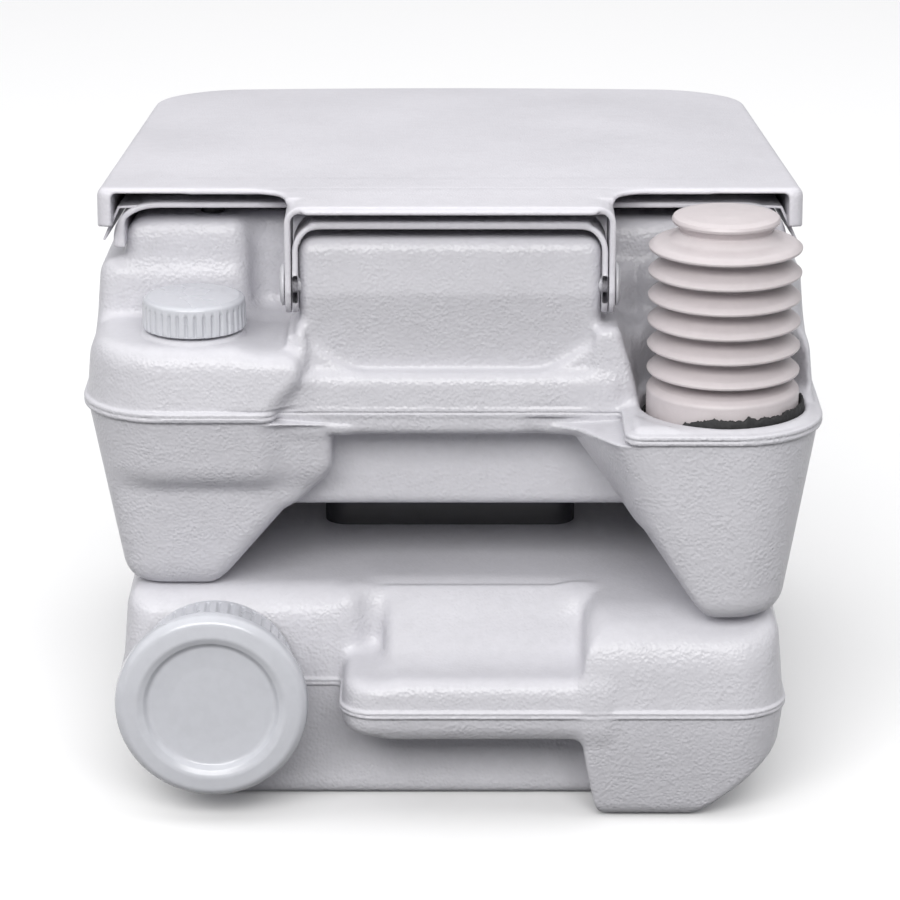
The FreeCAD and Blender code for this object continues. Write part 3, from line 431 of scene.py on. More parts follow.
def waste_field(p):
    """The waste tank with its brow, carrying bar, finger scoop, spout bore and valve throat."""
    x, y, z = p
    below = np.maximum(LOW_SEAM - z, 0.0)
    above = np.maximum(z - LOW_SEAM, 0.0)
    inset = 10.0 * (below / LOW_SEAM) ** 1.4 + 4.0 * above / 47.0
    toe = 10.0 * (below / LOW_SEAM) ** 1.4 + 9.0 * (below / LOW_SEAM) ** 2
    left = rect2(x, y, -LOW_HALF_X, 120.0, -156.0 - toe, 198.0, (18, 4, 4, 60))
    right = rect2(x, y, 64.0, LOW_HALF_X, -202.0, 198.0, (5, 26, 60, 4))
    outline = smin(left, right, 5.0)
    plan = outline + inset
    solid = smax(smax(plan, -z, 9.0), z - 106.0, 12.0)
    # brow over the hinge side
    brow = (z - 94.5) * 0.8 - (y + 199.5) * 0.6
    solid = smax(solid, brow, 12.0)
    niche = smax((y + 154.0) * 0.66 - (z - 97.0) * 0.75, x + 58.0, 8.0)
    solid = smax(solid, -niche, 7.0)
    # carrying bar, with a scoop for the fingers behind it
    bar_plan = rect2(x, y, -54.0, 80.0, -202.0, -140.0, (17, 4, 4, 8)) + inset
    bar = smax(smax(bar_plan, z - 76.0, 9.0), 45.5 - z, 8.0)
    slope = (z - 74.5) * 0.79 - (y + 180.0) * 0.613
    block = smax(smax(slope, np.abs(x - 10.0) - 60.0, 6.0), smax(smax(-196.0 - y, y + 141.0, 3.0), 45.0 - z, 3.0), 3.0)
    scoop = smax(smax(np.abs(x - 9.0) - 45.0 - (z - 90) * 0.14, -slope, 8.0), 74.0 - z, 6.0)
    solid = smax(solid, -scoop, 8.0)
    solid = smin(solid, smax(block, -(x + 36.0), 9.0), 5.0)
    solid = smin(solid, bar, 6.0)
    channel = smax(np.abs(x + 39.0) - 2.5, smax(y + 150.0, 80.0 - z, 6.0), 6.0)
    solid = smax(solid, -channel, 12.0)
    # bottom edges along both sides
    corner = ((np.abs(x) - 123.0) * 37.0 - z * 43.0) / 56.7
    solid = smax(solid, corner, 3.5)
    # weld seam
    for edge in (outline, bar_plan - inset):
        bead = smax(smax(edge + inset - 1.3, np.abs(z - LOW_SEAM) - 1.9, 0.8), -(edge + 4.0), 1.0)
        solid = smin(solid, bead, 0.8)
    seam = smin(outline, bar_plan - inset, 2.0) + inset
    groove = np.maximum(np.abs(seam - 1.3) - 0.6, np.abs(z - LOW_SEAM) - 0.4)
    solid = np.maximum(solid, -groove)
    bore = smax(np.hypot(x - SPOUT[0], z - SPOUT[2]) - 33.5, y + 120.0, 1.0)
    solid = np.maximum(solid, -bore)
    throat = smax(np.hypot(x, y - 34.0) - 38.0, 60.0 - z, 2.0)
    return np.maximum(solid, -throat)


waste_spans = (
    [(-172, 172, coarse)],
    [(-207, -90, coarse * 0.85), (-90, 204, coarse * 1.5)],
    [(-3, 55, coarse), (55, 64, 0.65), (64, 110, coarse)],
)
waste = field_mesh("waste_tank", waste_field, waste_spans)
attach(waste, "waste_unit")
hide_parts("waste_tank_top_shell", "waste_tank_bottom_shell")

# ---- seat and lid, in the deck's own level frame: w is 0 on the deck ---------------------------------------------
PIVOT_DY, PIVOT_DZ = PIVOT[1] - DECK_Y, PIVOT[2] - DECK_Z
PIVOT_V = DECK_Y + PIVOT_DY * math.cos(TILT) - PIVOT_DZ * math.sin(TILT)
PIVOT_W = PIVOT_DY * math.sin(TILT) + PIVOT_DZ * math.cos(TILT)


def to_deck(p):
    """(x, y, z) as (x, v, w): v runs along the deck and w stands up from it."""
    dy, dz = p[1] - DECK_Y, p[2] - DECK_Z
    return p[0], DECK_Y + dy * math.cos(TILT) - dz * math.sin(TILT), dy * math.sin(TILT) + dz * math.cos(TILT)


def tapered(x, v, rear, front, v0, v1, radii):
    """A rounded panel outline whose sides draw in from rear to front."""
    share = np.clip((v - v0) / (v1 - v0), 0, 1)
    half = rear + (front - rear) * share
    return rect2(x * rear / half, v, -rear, rear, v0, v1, radii)


def strap(x, v, w, half, top, thickness, corner, v_near, v_far):
    """The hinge tab with an ear bent down at each end, each round the hinge axis."""
    q0 = np.abs(x) - (half - thickness / 2) + corner
    q1 = w - (top - thickness / 2) + corner
    path = np.minimum(np.maximum(q0, q1), 0) + np.hypot(np.maximum(q0, 0), np.maximum(q1, 0)) - corner
    sheet = np.abs(path) - thickness / 2
    ring = np.hypot(v - PIVOT_V, w - PIVOT_W) - 13.0
    lean = (w - PIVOT_W) / (top - PIVOT_W)
    low = PIVOT_V - 13.0 + (v_near - PIVOT_V + 13.0) * lean
    high = PIVOT_V + 13.0 + (v_far - PIVOT_V - 13.0) * lean
    blade = np.maximum(np.maximum(low - v, v - high) * 0.97, PIVOT_W - w)
    return smax(sheet, smin(ring, blade, 3.0), 1.0)


def lid_field(p):
    """The lid: a thin crowned panel with a skirt, and a tab with two ears round the hinge axis."""
    x, v, w = to_deck(p)
    top = 18.6
    panel = tapered(x, v, 175.5, 166.5, -120.0, 206.0, (7, 7, 50, 50))
    tab = rect2(x, v, -80.4, 80.4, -168.6, -60.0, (9, 9, 9, 9))
    droop = np.maximum(-v - 128.0, 0.0) * 0.045
    crown = 1.2 * np.clip(1 - (x / 150.0) ** 2, 0, 1) * ramp(v, -100, 20)
    outer = smax(panel, w - top - crown, 5.0)
    inner = smax(tapered(x, v, 172.9, 163.9, -500.0, 203.4, (1, 1, 48, 48)), w - top - crown + 2.6, 3.0)
    shell = smax(outer, -inner, 1.2)
    skirt = -2.0 - w + 1.5 * ramp(-v, 108, 121)
    shell = smax(shell, skirt, 1.2)
    plate = smax(smax(smin(panel, tab, 26.0), w - top + droop, 2.0), top - droop - 2.6 - w, 1.6)
    plate = smax(plate, v + 90.0, 1.0)
    band = strap(x, v, w + droop, 80.4, top, 3.0, 6.5, -163.0, -122.0)
    plate = smax(plate, np.abs(x) - 74.0 - 60.0 * ramp(v, -146, -128), 6.0)
    field = smin(smin(shell, plate, 1.0), band, 3.0)
    hole = np.hypot(v - PIVOT_V, w - PIVOT_W) - 4.2
    return np.maximum(field, -np.maximum(hole, 60.0 - np.abs(x)))


def seat_field(p):
    """The seat: a thin panel with rolled sides and an oval opening, and a tab with two ears."""
    x, v, w = to_deck(p)
    top = 10.0
    panel = tapered(x, v, 169.0, 160.0, -110.0, 196.0, (5, 5, 46, 46))
    half = 169.0 - 9.0 * np.clip((v + 110.0) / 306.0, 0, 1)
    outer = smax(panel, smax(np.abs(x) - half, w - top, 24.0), 1.5)
    cavity = smax(np.abs(x) - half + 1.8, w - top + 2.8, 23.0)
    inner = smax(tapered(x, v, 167.3, 158.3, -500.0, 193.0, (1, 1, 44, 44)), cavity, 1.0)
    shell = smax(smax(outer, -inner, 1.0), -13.0 - w, 1.2)
    hx, hy = 82.0, 106.0
    ring = (np.hypot(x / hx, (v - 34.0) / hy) - 1.0) * 84.0
    shell = smax(shell, -ring, 3.0)
    lip = smax(smax(np.abs(ring - 1.2) - 1.25, w - top + 0.6, 1.0), -3.0 - w, 1.0)
    dip = np.maximum(-v - 118.0, 0.0) * 0.03
    tab = rect2(x, v, -68.0, 68.0, -158.0, -90.0, (2, 2, 2, 2))
    plate = smax(smax(tab, w - top + dip, 1.6), top - dip - 2.8 - w, 1.6)
    band = strap(x, v, w + dip, 76.9, top, 2.8, 13.0, -158.0, -128.0)
    field = smin(smin(smin(shell, lip, 1.5), plate, 2.0), band, 2.0)
    hole = np.hypot(v - PIVOT_V, w - PIVOT_W) - 4.2
    return np.maximum(field, -np.maximum(hole, 60.0 - np.abs(x)))


fine = 0.9
lid_x = [
    (-179, -155, fine), (-155, -86, 2.6), (-86, -70, fine), (-70, 70, 3.0), (70, 86, fine), (86, 155, 2.6),
    (155, 179, fine),
]
lid_y = [(-172, -108, 1.3), (-108, 150, 3.0), (150, 210, 1.4)]
lid = field_mesh("lid_cover", lid_field, (lid_x, lid_y, [(248, 309, fine)]))
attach(lid, "lid")
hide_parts("lid_panel")
seat_x = [
    (-178, -140, fine), (-140, -90, 2.6), (-90, -66, fine), (-66, 66, 3.0), (66, 90, fine), (90, 140, 2.6),
    (140, 178, fine),
]
seat_y = [(-162, -96, 1.2), (-96, 140, 2.4), (140, 200, 1.5)]
seat = field_mesh("seat_moulding", seat_field, (seat_x, seat_y, [(248, 300, fine)]))
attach(seat, "seat")
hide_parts("seat_ring")


def seat_skirt(side, word):
    """The thin flared skirt along one side of the seat, rooted under its rolled edge. Profile points are (x, w)."""
    profile = [(153.0, 8.6), (165.6, 8.0), (173.5, -9.0), (172.2, -9.3), (164.7, 6.8), (153.0, 7.2)]
    vertices = []
    for v in (-109.0, 130.0):
        drawn_in = 9.0 * (v + 110.0) / 306.0
        for x, w in profile:
            y = DECK_Y + (v - DECK_Y) * math.cos(TILT) + w * math.sin(TILT)
            z = DECK_Z - (v - DECK_Y) * math.sin(TILT) + w * math.cos(TILT)
            vertices.append((side * (x - drawn_in) * MM, y * MM, z * MM))
    count = len(profile)
    faces = [(i, (i + 1) % count, (i + 1) % count + count, i + count) for i in range(count)]
    faces += [tuple(range(count))[::-1], tuple(range(count, 2 * count))]
    if side > 0:
        faces = [face[::-1] for face in faces]
    mesh = bpy.data.meshes.new("seat_skirt_" + word)
    mesh.from_pydata(vertices, [], faces)
    mesh.update()
    obj = linked("seat_skirt_" + word, mesh)
    edge = obj.modifiers.new("rounded_edge", "BEVEL")
    edge.width, edge.segments = 0.0004, 2
    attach(obj, "seat")
    return obj


skirts = [seat_skirt(-1, "left"), seat_skirt(1, "right")]

# ---- turned pieces ----------------------------------------------------------------------------------------------


def rounded_path(points):
    """A line through (r, h, fillet) points with each corner rounded by its fillet."""
    path = [np.array(points[0][:2], float)]
    for i in range(1, len(points) - 1):
        here = np.array(points[i][:2], float)
        fillet = points[i][2]
        a = np.array(points[i - 1][:2], float) - here
        b = np.array(points[i + 1][:2], float) - here
        la, lb = np.linalg.norm(a), np.linalg.norm(b)
        a, b = a / la, b / lb
        half = math.acos(max(-1.0, min(1.0, float(a @ b)))) / 2
        reach = min(fillet / math.tan(half), 0.48 * la, 0.48 * lb)
        fillet = reach * math.tan(half)
        centre = here + (a + b) / np.linalg.norm(a + b) * fillet / math.sin(half)
        first, last = here + a * reach - centre, here + b * reach - centre
        start = math.atan2(first[1], first[0])
        turn = (math.atan2(last[1], last[0]) - start + math.pi) % (2 * math.pi) - math.pi
        steps = max(3, int(abs(turn) / 0.3))
        if la - reach > 1.5:
            path.append(here + a * (reach + 0.4))
        for k in range(steps + 1):
            angle = start + turn * k / steps
            path.append(centre + fillet * np.array([math.cos(angle), math.sin(angle)]))
        if lb - reach > 1.5:
            path.append(here + b * (reach + 0.4))
    path.append(np.array(points[-1][:2], float))
    return np.array(path)


def turned(name, points, place, segments=144, ribs=None):
    """A turned mesh from a profile that starts and ends on its axis. ribs = (count, depth, low, high, least radius)
    cuts grooves between two heights into what lies outside that radius."""
    path = rounded_path(points)
    angles = np.arange(segments) * 2 * math.pi / segments
    r = np.repeat(path[:, :1], segments, axis=1)
    h = np.repeat(path[:, 1:], segments, axis=1)
    if ribs:
        count, depth, low, high, least = ribs
        wave = ramp(-np.cos(angles * count), 0.15, 0.85)[None, :]
        edge = ramp(h, low - 0.9, low + 0.9) * ramp(-h, -high - 0.9, -high + 0.9)
        r = r - depth * wave * edge * (r > least)
    vertices, rings = [], []
    for i in range(len(path)):
        if path[i, 0] < 1e-6:
            rings.append([len(vertices)])
            vertices.append(place(np.array([0.0]), np.array([0.0]), h[i, :1])[0])
        else:
            start = len(vertices)
            rings.append(list(range(start, start + segments)))
            vertices += list(place(r[i] * np.cos(angles), r[i] * np.sin(angles), h[i]))
    faces = []
    for lower, upper in zip(rings, rings[1:]):
        for k in range(segments):
            n = (k + 1) % segments
            if len(lower) == 1:
                faces.append((lower[0], upper[n], upper[k]))
            elif len(upper) == 1:
                faces.append((lower[k], lower[n], upper[0]))
            else:
                faces.append((lower[k], lower[n], upper[n], upper[k]))
    mesh = bpy.data.meshes.new(name)
    mesh.from_pydata([tuple(float(c) * MM for c in v) for v in vertices], [], faces)
    bm = bmesh.new()
    bm.from_mesh(mesh)
    bmesh.ops.recalc_face_normals(bm, faces=bm.faces)
    bm.to_mesh(mesh)
    bm.free()
    mesh.shade_smooth()
    return linked(name, mesh)


def upright(centre):
    """Places a turned piece with its axis up."""
    return lambda a, b, h: np.stack([centre[0] + a, centre[1] + b, h], axis=1)


def facing_hinge_side(centre):
    """Places a turned piece with its axis along y."""
    return lambda a, b, h: np.stack([centre[0] + a, h, centre[2] + b], axis=1)


def sideways(side, centre):
    """Places a turned piece with its axis along x, mirrored by side."""
    return lambda a, b, h: np.stack([side * h, centre[1] + a, centre[2] + b], axis=1)


# flush pump
TOP_RIM, PLEAT_PITCH, PLEATS = 287.0, 12.3, 6
rims = [TOP_RIM - PLEAT_PITCH * i for i in range(PLEATS)]
profile = [(0, 201, 0), (37.4, 201, 0.5), (37.5, 216.0, 2.0), (34.0, 218.2, 3.0), (26.0, 220.6, 1.2)]
for z in reversed(rims):
    profile += [(25.6, z - 4.2, 1.0), (26.2, z - 2.6, 1.0), (36.4, z - 1.3, 0.6), (37.3, z - 0.9, 0.5)]
    profile += [(37.5, z + 0.2, 0.6), (35.0, z + 2.3, 6.0)]
    if z != rims[0]:
        profile += [(26.2, z + 6.6, 1.2)]
profile += [(27.0, 291.0, 5.0), (22.8, 295.0, 1.5), (0, 295.0, 0)]
bellows = turned("pump_bellows_soft", profile, upright(PUMP), 160)
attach(bellows, "fresh_unit")
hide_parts("pump_bellows")
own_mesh(bellows)
profile = [
    (0, 292.0, 0), (22.2, 292.0, 0.6), (22.4, 295.6, 1.5), (24.6, 298.4, 0.8), (26.1, 299.1, 0.5), (26.5, 300.4, 0.5),
    (25.7, 302.0, 0.9), (21.8, 302.9, 3.0), (10.0, 303.8, 8.0), (0, 304.0, 0),
]
button = turned("pump_push_button", profile, upright(PUMP), 160)
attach(button, "pump")
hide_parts("pump_button")


def shade_gap_ring():
    """A crumbly black ring in the gap between the pump's foot and its socket, proudest at one side; its black is
    painted shade standing in for the dark gap.
    """
    around, section = 300, 20
    vertices, faces = [], []
    for i in range(around):
        angle = 2 * math.pi * i / around
        proud = float(ramp(np.array(math.cos(angle + 0.87)), -0.15, 0.7))
        for j in range(section):
            turn = 2 * math.pi * j / section
            spot = Vector((math.cos(angle) * 13.0, math.sin(angle) * 13.0, math.sin(turn) * 1.3))
            rough = noise.noise(spot) + 0.7 * noise.noise(spot * 2.9)
            r = 39.15 + 1.45 * math.cos(turn) * min(1.0, 0.85 + 0.3 * rough)
            h = 200.0 + proud * 6.4 + math.sin(turn) * (1.8 + proud * 2.1) * (1.0 + 0.5 * rough)
            vertices.append(((PUMP[0] + r * math.cos(angle)) * MM, (PUMP[1] + r * math.sin(angle)) * MM, h * MM))
            k, m = (i + 1) % around, (j + 1) % section
            faces.append((i * section + j, k * section + j, k * section + m, i * section + m))
    mesh = bpy.data.meshes.new("pump_shade_gap_ring")
    mesh.from_pydata(vertices, [], faces)
    mesh.shade_smooth()
    return linked("pump_shade_gap_ring", mesh)


# painted shade: a black ring fills the shaded gap round the pump's foot
shade_gap_fill = shade_gap_ring()
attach(shade_gap_fill, "fresh_unit")

# filler cap, hollow underneath
low, high = node_box("fill_cap")[0][2], node_box("fill_cap")[1][2]
profile = [
    (0, high - 3.4, 0), (13.5, high - 3.4, 0.3), (13.5, high - 7.4, 0.3), (21.0, high - 7.4, 0.3), (21.0, low, 0.3),
    (25.7, low, 0.5), (25.9, low + 1.4, 0.4), (25.6, high - 4.6, 1.0), (25.2, high - 1.0, 1.6), (22.6, high - 0.2, 2.0),
    (14.0, high, 6.0), (0, high, 0),
]
cap = turned("filler_cap", profile, upright(FILL), 432, (36, 1.0, low + 0.2, high - 4.4, 23.0))
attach(cap, "fill_cap")
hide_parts("fill_cap")

# spout cap: a wide soft rim round a sunken face, with grip ribs behind
face, back = node_box("spout_cap")[0][1], node_box("spout_cap")[1][1]
profile = [
    (0, face + 4.6, 0), (20.0, face + 4.7, 9.0), (31.4, face + 4.3, 2.5), (33.6, face + 1.6, 1.8), (36.8, face, 3.4),
    (44.5, face + 0.6, 4.0), (47.6, face + 3.6, 3.4), (48.0, face + 8.0, 2.6), (46.6, face + 11.4, 2.0),
    (41.5, face + 11.8, 0.8), (41.5, back - 2.5, 1.0), (40.8, back, 0.7), (35.1, back, 0.5), (35.1, face + 10.0, 0.6),
    (0, face + 10.0, 0),
]
spout_cap = turned(
    "spout_screw_cap", profile, facing_hinge_side(SPOUT), 528, (44, 1.2, face + 13.4, back - 0.8, 38.0)
)
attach(spout_cap, "spout_cap")
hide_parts("spout_cap")

# hinge pins with domed heads
for side, word in ((-1, "left"), (1, "right")):
    profile = [(0, 56.0, 0), (3.4, 56.0, 0.6), (4.0, 57.2, 0.6), (4.0, 80.8, 0.1), (10.4, 80.8, 0.4), (10.5, 82.0, 0.5)]
    profile += [(8.6, 83.0, 1.2), (4.6, 83.3, 2.0), (4.2, 82.7, 0.3), (0, 82.7, 0)]
    pin = turned("hinge_rivet_" + word, profile, sideways(side, PIVOT), 72)
    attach(pin, "fresh_unit")
    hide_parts("hinge_pin_" + word)


def bowl_shape(p):
    """The bowl's smooth funnel with its flange on the deck."""
    x, y, z = p
    over = z - deck(y)
    outer, inner = bowl_field(p, 0.0), bowl_field(p, -3.4)
    wall = smax(outer, -inner, 0.8)
    wall = smax(smax(wall, over - 2.0, 0.8), 119.0 - z, 0.8)
    flange = np.hypot(x / 102.0, (y - 34.0) / 126.0)
    flange = (flange - 1.0) * 100.0
    flange = smax(smax(flange, np.abs(over - 1.1) - 1.1, 0.8), -inner, 1.5)
    field = smin(wall, flange, 2.5)
    hole = np.maximum(np.hypot(x, z - 268.0) - 6.0, y)
    return np.maximum(field, -hole)


bowl_step = 1.6
bowl = field_mesh("bowl_moulding", bowl_shape, (
    [(-106, 106, bowl_step)], [(-96, 164, bowl_step)], [(115, 262, bowl_step), (262, 295, bowl_step * 0.5)],
))
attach(bowl, "fresh_unit")
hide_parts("bowl")

# small moulded edges on the pieces that keep their CAD shape
for node, width in (
    ("latch_left", 0.7), ("latch_right", 0.7), ("valve_frame", 0.9), ("valve_handle", 0.5), ("valve_blade", 0.4),
    ("spout_neck", 0.5), ("flush_nozzle", 0.5), ("pump_collar", 0.4), ("valve_screws", 0.2), ("latch_pins", 0.3),
    ("lid_buffers", 0.8), ("seat_buffers", 0.8), ("spout_cap_gasket", 0.4), ("fill_cap_gasket", 0.4),
):
    edge = frame["nodes"][node].modifiers.new("moulded_edge", "BEVEL")
    edge.width = width * MM
    edge.segments = 2
    edge.limit_method = "ANGLE"
    edge.angle_limit = math.radians(38)

# ---- materials --------------------------------------------------------------------------------------------------


def add(tree, kind, inputs=(), **settings):
    """A node with its settings, its plain input values, and links from (node, output) pairs."""
    node = tree.nodes.new(kind)
    for key, value in settings.items():
        setattr(node, key, value)
    for key, value in dict(inputs).items():
        if isinstance(value, tuple) and len(value) == 2 and isinstance(value[0], bpy.types.Node):
            tree.links.new(value[0].outputs[value[1]], node.inputs[key])
        else:
            node.inputs[key].default_value = value
    return node


def ramp_node(tree, source, stops):
    """A colour ramp over (position, grey or colour) stops."""
    node = add(tree, "ShaderNodeValToRGB", {"Fac": source})
    elements = node.color_ramp.elements
    while len(elements) < len(stops):
        elements.new(0.5)
    for element, (position, value) in zip(elements, stops):
        element.position = position
        element.color = (value, value, value, 1) if isinstance(value, float) else (*value, 1)
    return node


def plastic(name, colour, rough, grain=0.0, depth=0.0, top_share=0.3, spread=0.05, coat=0.0):
    """Moulded plastic: uneven tint and gloss, painted shade that darkens creases and hollows with rubbed edges a little
    lighter, and a pebbled grain that fades on surfaces facing up.
    grain is the pebbles' size in millimetres and depth scales their height."""
    material = bpy.data.materials.new(name)
    material.use_nodes = True
    tree = material.node_tree
    shader = tree.nodes["Principled BSDF"]
    place = add(tree, "ShaderNodeTexCoord")
    geometry = add(tree, "ShaderNodeNewGeometry")
    at = (place, "Object")
    clouds = add(tree, "ShaderNodeTexNoise", {"Vector": at, "Scale": 11.0, "Detail": 4.0, "Roughness": 0.55})
    fine = add(tree, "ShaderNodeTexNoise", {"Vector": at, "Scale": 190.0, "Detail": 3.0, "Roughness": 0.6})
    low = tuple(c * (1 - spread) for c in colour)
    high = tuple(min(1.0, c * (1 + spread)) for c in colour)
    tint = ramp_node(tree, (clouds, "Fac"), [(0.3, low), (0.7, high)])
    speck = ramp_node(tree, (fine, "Fac"), [(0.35, 0.965), (0.62, 1.0)])
    colours = add(tree, "ShaderNodeMix", data_type="RGBA", blend_type="MULTIPLY")
    colours.inputs["Factor"].default_value = 1.0
    tree.links.new(tint.outputs["Color"], colours.inputs[6])
    tree.links.new(speck.outputs["Color"], colours.inputs[7])
    # painted shade: the colour darkens in creases and hollows (low pointiness); rubbed outward edges come out a little
    # lighter
    crease_shade_and_rub_ramp = ramp_node(tree, (geometry, "Pointiness"), [(0.40, 0.90), (0.49, 1.0), (0.53, 1.0), (0.62, 1.04)])
    crease_shade_and_rub_mix = add(tree, "ShaderNodeMix", data_type="RGBA", blend_type="MULTIPLY")
    crease_shade_and_rub_mix.inputs["Factor"].default_value = 1.0
    tree.links.new(colours.outputs[2], crease_shade_and_rub_mix.inputs[6])
    tree.links.new(crease_shade_and_rub_ramp.outputs["Color"], crease_shade_and_rub_mix.inputs[7])
    tree.links.new(crease_shade_and_rub_mix.outputs[2], shader.inputs["Base Color"])
    gloss = add(tree, "ShaderNodeMapRange", {
        "Value": (clouds, "Fac"), "From Min": 0.3, "From Max": 0.7, "To Min": rough - 0.05, "To Max": rough + 0.06,
    })
    tree.links.new(gloss.outputs["Result"], shader.inputs["Roughness"])
    shader.inputs["Coat Weight"].default_value = coat
    shader.inputs["Coat Roughness"].default_value = 0.12
    normal = None
    if grain:
        warp = add(tree, "ShaderNodeTexNoise", {"Vector": at, "Scale": 260.0 / grain, "Detail": 2.0})
        moved = add(tree, "ShaderNodeVectorMath", operation="MULTIPLY_ADD")
        tree.links.new(warp.outputs["Color"], moved.inputs[0])
        moved.inputs[1].default_value = (grain * 0.0009,) * 3
        tree.links.new(place.outputs["Object"], moved.inputs[2])
        cells = add(tree, "ShaderNodeTexVoronoi", {"Vector": (moved, 0), "Scale": 1000.0 / grain, "Smoothness": 0.7},
                    feature="SMOOTH_F1")
        patches = add(tree, "ShaderNodeTexNoise", {"Vector": at, "Scale": 90.0, "Detail": 1.0})
        height = add(tree, "ShaderNodeMath", {0: (cells, "Distance"), 1: (patches, "Fac")}, operation="MULTIPLY")
        upward = add(tree, "ShaderNodeSeparateXYZ", {"Vector": (geometry, "Normal")})
        share = add(tree, "ShaderNodeMapRange", {
            "Value": (upward, "Z"), "From Min": 0.45, "From Max": 0.9, "To Min": 1.0, "To Max": top_share,
        })
        normal = add(tree, "ShaderNodeBump", {
            "Height": (height, "Value"), "Strength": (share, "Result"), "Distance": depth * 0.004,
        })
    ripple = add(tree, "ShaderNodeTexNoise", {"Vector": at, "Scale": 34.0, "Detail": 2.0})
    last = add(tree, "ShaderNodeBump", {"Height": (ripple, "Fac"), "Strength": 0.25, "Distance": 0.0004})
    if normal:
        tree.links.new(normal.outputs["Normal"], last.inputs["Normal"])
    tree.links.new(last.outputs["Normal"], shader.inputs["Normal"])
    return material


def rubber(name, colour, rough, size, depth):
    """Matt rubber or foam with a broken surface."""
    material = bpy.data.materials.new(name)
    material.use_nodes = True
    tree = material.node_tree
    shader = tree.nodes["Principled BSDF"]
    place = add(tree, "ShaderNodeTexCoord")
    lumps = add(tree, "ShaderNodeTexNoise", {
        "Vector": (place, "Object"), "Scale": 1000.0 / size, "Detail": 5.0, "Roughness": 0.65,
    })
    dark, light = tuple(c * 0.6 for c in colour), tuple(c * 1.8 for c in colour)
    tint = ramp_node(tree, (lumps, "Fac"), [(0.3, dark), (0.72, light)])
    tree.links.new(tint.outputs["Color"], shader.inputs["Base Color"])
    gloss = add(tree, "ShaderNodeMapRange", {"Value": (lumps, "Fac"), "To Min": rough - 0.1, "To Max": rough + 0.1})
    tree.links.new(gloss.outputs["Result"], shader.inputs["Roughness"])
    bump = add(tree, "ShaderNodeBump", {"Height": (lumps, "Fac"), "Strength": 0.8, "Distance": depth * MM})
    tree.links.new(bump.outputs["Normal"], shader.inputs["Normal"])
    return material


def steel(name):
    """Drawn stainless steel with fine lines round its axis."""
    material = bpy.data.materials.new(name)
    material.use_nodes = True
    tree = material.node_tree
    shader = tree.nodes["Principled BSDF"]
    shader.inputs["Metallic"].default_value = 1.0
    place = add(tree, "ShaderNodeTexCoord")
    stretched = add(tree, "ShaderNodeMapping", {"Vector": (place, "Object"), "Scale": (300.0, 4000.0, 300.0)})
    lines = add(tree, "ShaderNodeTexNoise", {"Vector": (stretched, "Vector"), "Scale": 1.0, "Detail": 4.0})
    tint = ramp_node(tree, (lines, "Fac"), [(0.3, (0.42, 0.42, 0.43)), (0.7, (0.66, 0.66, 0.67))])
    tree.links.new(tint.outputs["Color"], shader.inputs["Base Color"])
    gloss = add(tree, "ShaderNodeMapRange", {"Value": (lines, "Fac"), "To Min": 0.2, "To Max": 0.42})
    tree.links.new(gloss.outputs["Result"], shader.inputs["Roughness"])
    bump = add(tree, "ShaderNodeBump", {"Height": (lines, "Fac"), "Strength": 0.3, "Distance": 0.00003})
    tree.links.new(bump.outputs["Normal"], shader.inputs["Normal"])
    return material


finish = {
    "tank": plastic("tank_polyethylene", (0.585, 0.58, 0.615), 0.36, grain=1.7, depth=0.15),
    "panel": plastic(
        "panel_polypropylene", (0.63, 0.62, 0.66), 0.38, grain=1.1, depth=0.08, top_share=0.8, spread=0.02
    ),
    "cap": plastic("cap_polypropylene", (0.56, 0.57, 0.61), 0.24, spread=0.03, coat=0.25),
    "bowl": plastic("bowl_polypropylene", (0.63, 0.63, 0.66), 0.22, spread=0.02, coat=0.2),
    "bellows": plastic("bellows_elastomer", (0.55, 0.505, 0.515), 0.38, grain=0.8, depth=0.02, spread=0.05),
    "pump_plastic": plastic("pump_plastic", (0.57, 0.52, 0.53), 0.34, grain=0.9, depth=0.02, spread=0.04),
    "seal": rubber("seal_rubber", (0.014, 0.014, 0.015), 0.7, 2.0, 0.5),
    "valve": plastic("valve_plastic", (0.055, 0.056, 0.06), 0.42, grain=1.4, depth=0.06, spread=0.15),
    "handle": plastic("handle_plastic", (0.45, 0.45, 0.48), 0.38, grain=1.2, depth=0.06, spread=0.05),
    "pin": plastic("pin_plastic", (0.56, 0.56, 0.59), 0.3, spread=0.04),
    "steel": steel("drawn_steel"),
    "hose": plastic("hose_silicone", (0.55, 0.55, 0.52), 0.3, spread=0.08),
}
slot_of = {row["node"]: row["material_slot"] for row in frame["record"]["subparts"]}
for node, obj in frame["nodes"].items():
    obj.data.materials.clear()
    obj.data.materials.append(finish[slot_of[node]])
for obj, key in (
    (fresh, "tank"), (waste, "tank"), (lid, "panel"), (seat, "panel"), (skirts[0], "panel"), (skirts[1], "panel"),
    (bellows, "bellows"), (button, "pump_plastic"), (shade_gap_fill, "seal"), (cap, "cap"), (spout_cap, "cap"), (bowl, "bowl"),
):
    obj.data.materials.append(finish[key])
for word in ("left", "right"):
    bpy.data.objects["hinge_rivet_" + word].data.materials.append(finish["pin"])

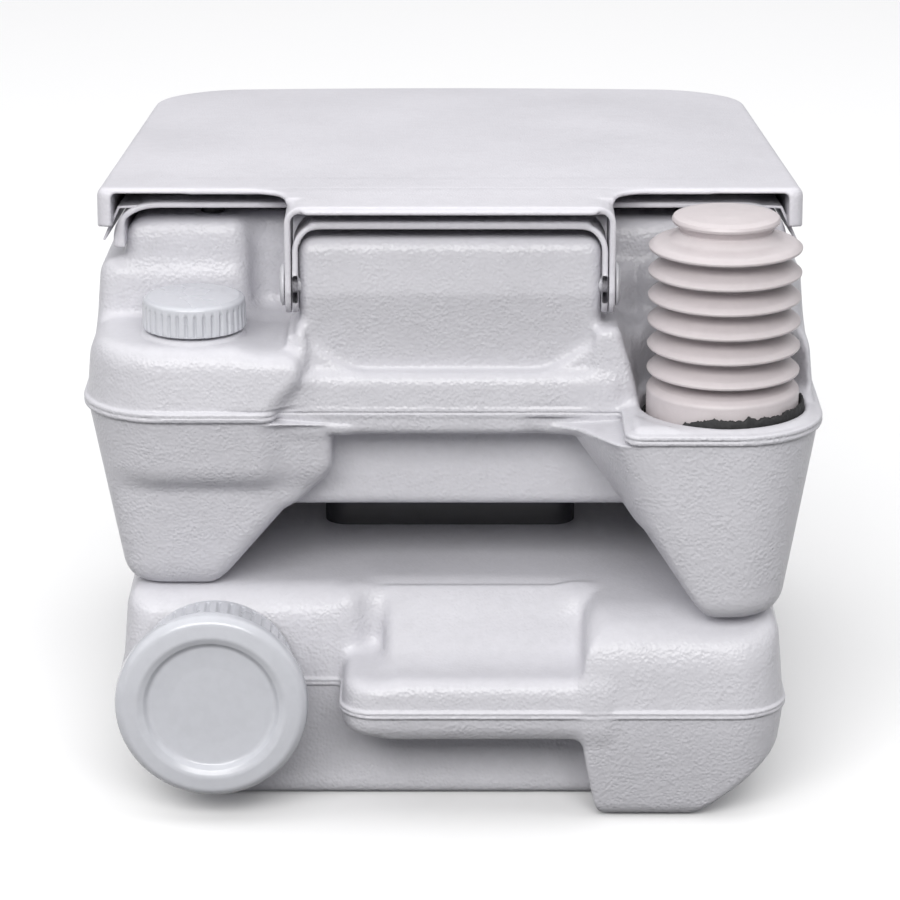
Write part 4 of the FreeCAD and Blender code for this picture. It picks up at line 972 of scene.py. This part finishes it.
# ---- floor and light --------------------------------------------------------------------------------------------
floor_mesh = bpy.data.meshes.new("studio_floor")
reach = 30.0
floor_mesh.from_pydata(
    [(-reach, -reach, 0), (reach, -reach, 0), (reach, reach, 0), (-reach, reach, 0)], [], [(0, 1, 2, 3)]
)
floor = linked("studio_floor", floor_mesh)
floor.location.z = -0.0004
floor.visible_diffuse = False
paper = bpy.data.materials.new("studio_paper")
paper.use_nodes = True
paper_noise = add(paper.node_tree, "ShaderNodeTexNoise", {"Scale": 3.0, "Detail": 3.0})
paper_tint = ramp_node(paper.node_tree, (paper_noise, "Fac"), [(0.3, 0.93), (0.7, 0.95)])
paper.node_tree.links.new(paper_tint.outputs["Color"], paper.node_tree.nodes["Principled BSDF"].inputs["Base Color"])
paper.node_tree.nodes["Principled BSDF"].inputs["Roughness"].default_value = 0.9
floor_mesh.materials.append(paper)

world = bpy.data.worlds.new("studio")
world.use_nodes = True
sky = world.node_tree
sky_place = add(sky, "ShaderNodeTexCoord")
sky_parts = add(sky, "ShaderNodeSeparateXYZ", {"Vector": (sky_place, "Generated")})
sky_tint = ramp_node(sky, (sky_parts, "Z"), [
    (0.0, (0.06, 0.06, 0.065)), (0.1, (0.34, 0.34, 0.35)), (1.0, (0.40, 0.40, 0.41)),
])
sky.links.new(sky_tint.outputs["Color"], sky.nodes["Background"].inputs["Color"])
bpy.context.scene.world = world


def softbox(name, place, aim, size, power, colour=(1.0, 1.0, 1.0)):
    """A rectangular area light that points at aim."""
    data = bpy.data.lights.new(name, "AREA")
    data.shape = "RECTANGLE"
    data.size, data.size_y = size
    data.energy = power
    data.color = colour
    lamp = bpy.data.objects.new(name, data)
    lamp.location = place
    lamp.rotation_euler = (Vector(aim) - Vector(place)).to_track_quat("-Z", "Y").to_euler()
    bpy.context.scene.collection.objects.link(lamp)


softbox("overhead", (0.0, 1.2, 2.6), (0.0, 1.2, 0.0), (6.0, 5.4), 92.0)
softbox("front", (-0.3, -2.3, 1.75), (0.0, 0.0, 0.2), (2.6, 1.1), 70.0, (1.0, 0.995, 0.985))
softbox("left_edge", (-2.2, -0.9, 0.9), (0.0, 0.0, 0.15), (0.7, 1.4), 5.0)
softbox("right_edge", (2.2, -0.9, 0.9), (0.0, 0.0, 0.15), (0.7, 1.4), 4.0)
bpy.context.scene.view_settings.view_transform = "Standard"

# ---- camera -----------------------------------------------------------------------------------------------------
camera_data = bpy.data.cameras.new("camera")
camera_data.lens = 144.0
camera_data.sensor_width = 36.0
camera_data.clip_end = 50.0
camera = bpy.data.objects.new("camera", camera_data)
camera.location = (0.0, -1.852, 0.733)
camera.rotation_euler = Euler((math.radians(72.0), 0.0, 0.0))
bpy.context.scene.collection.objects.link(camera)
bpy.context.scene.camera = camera
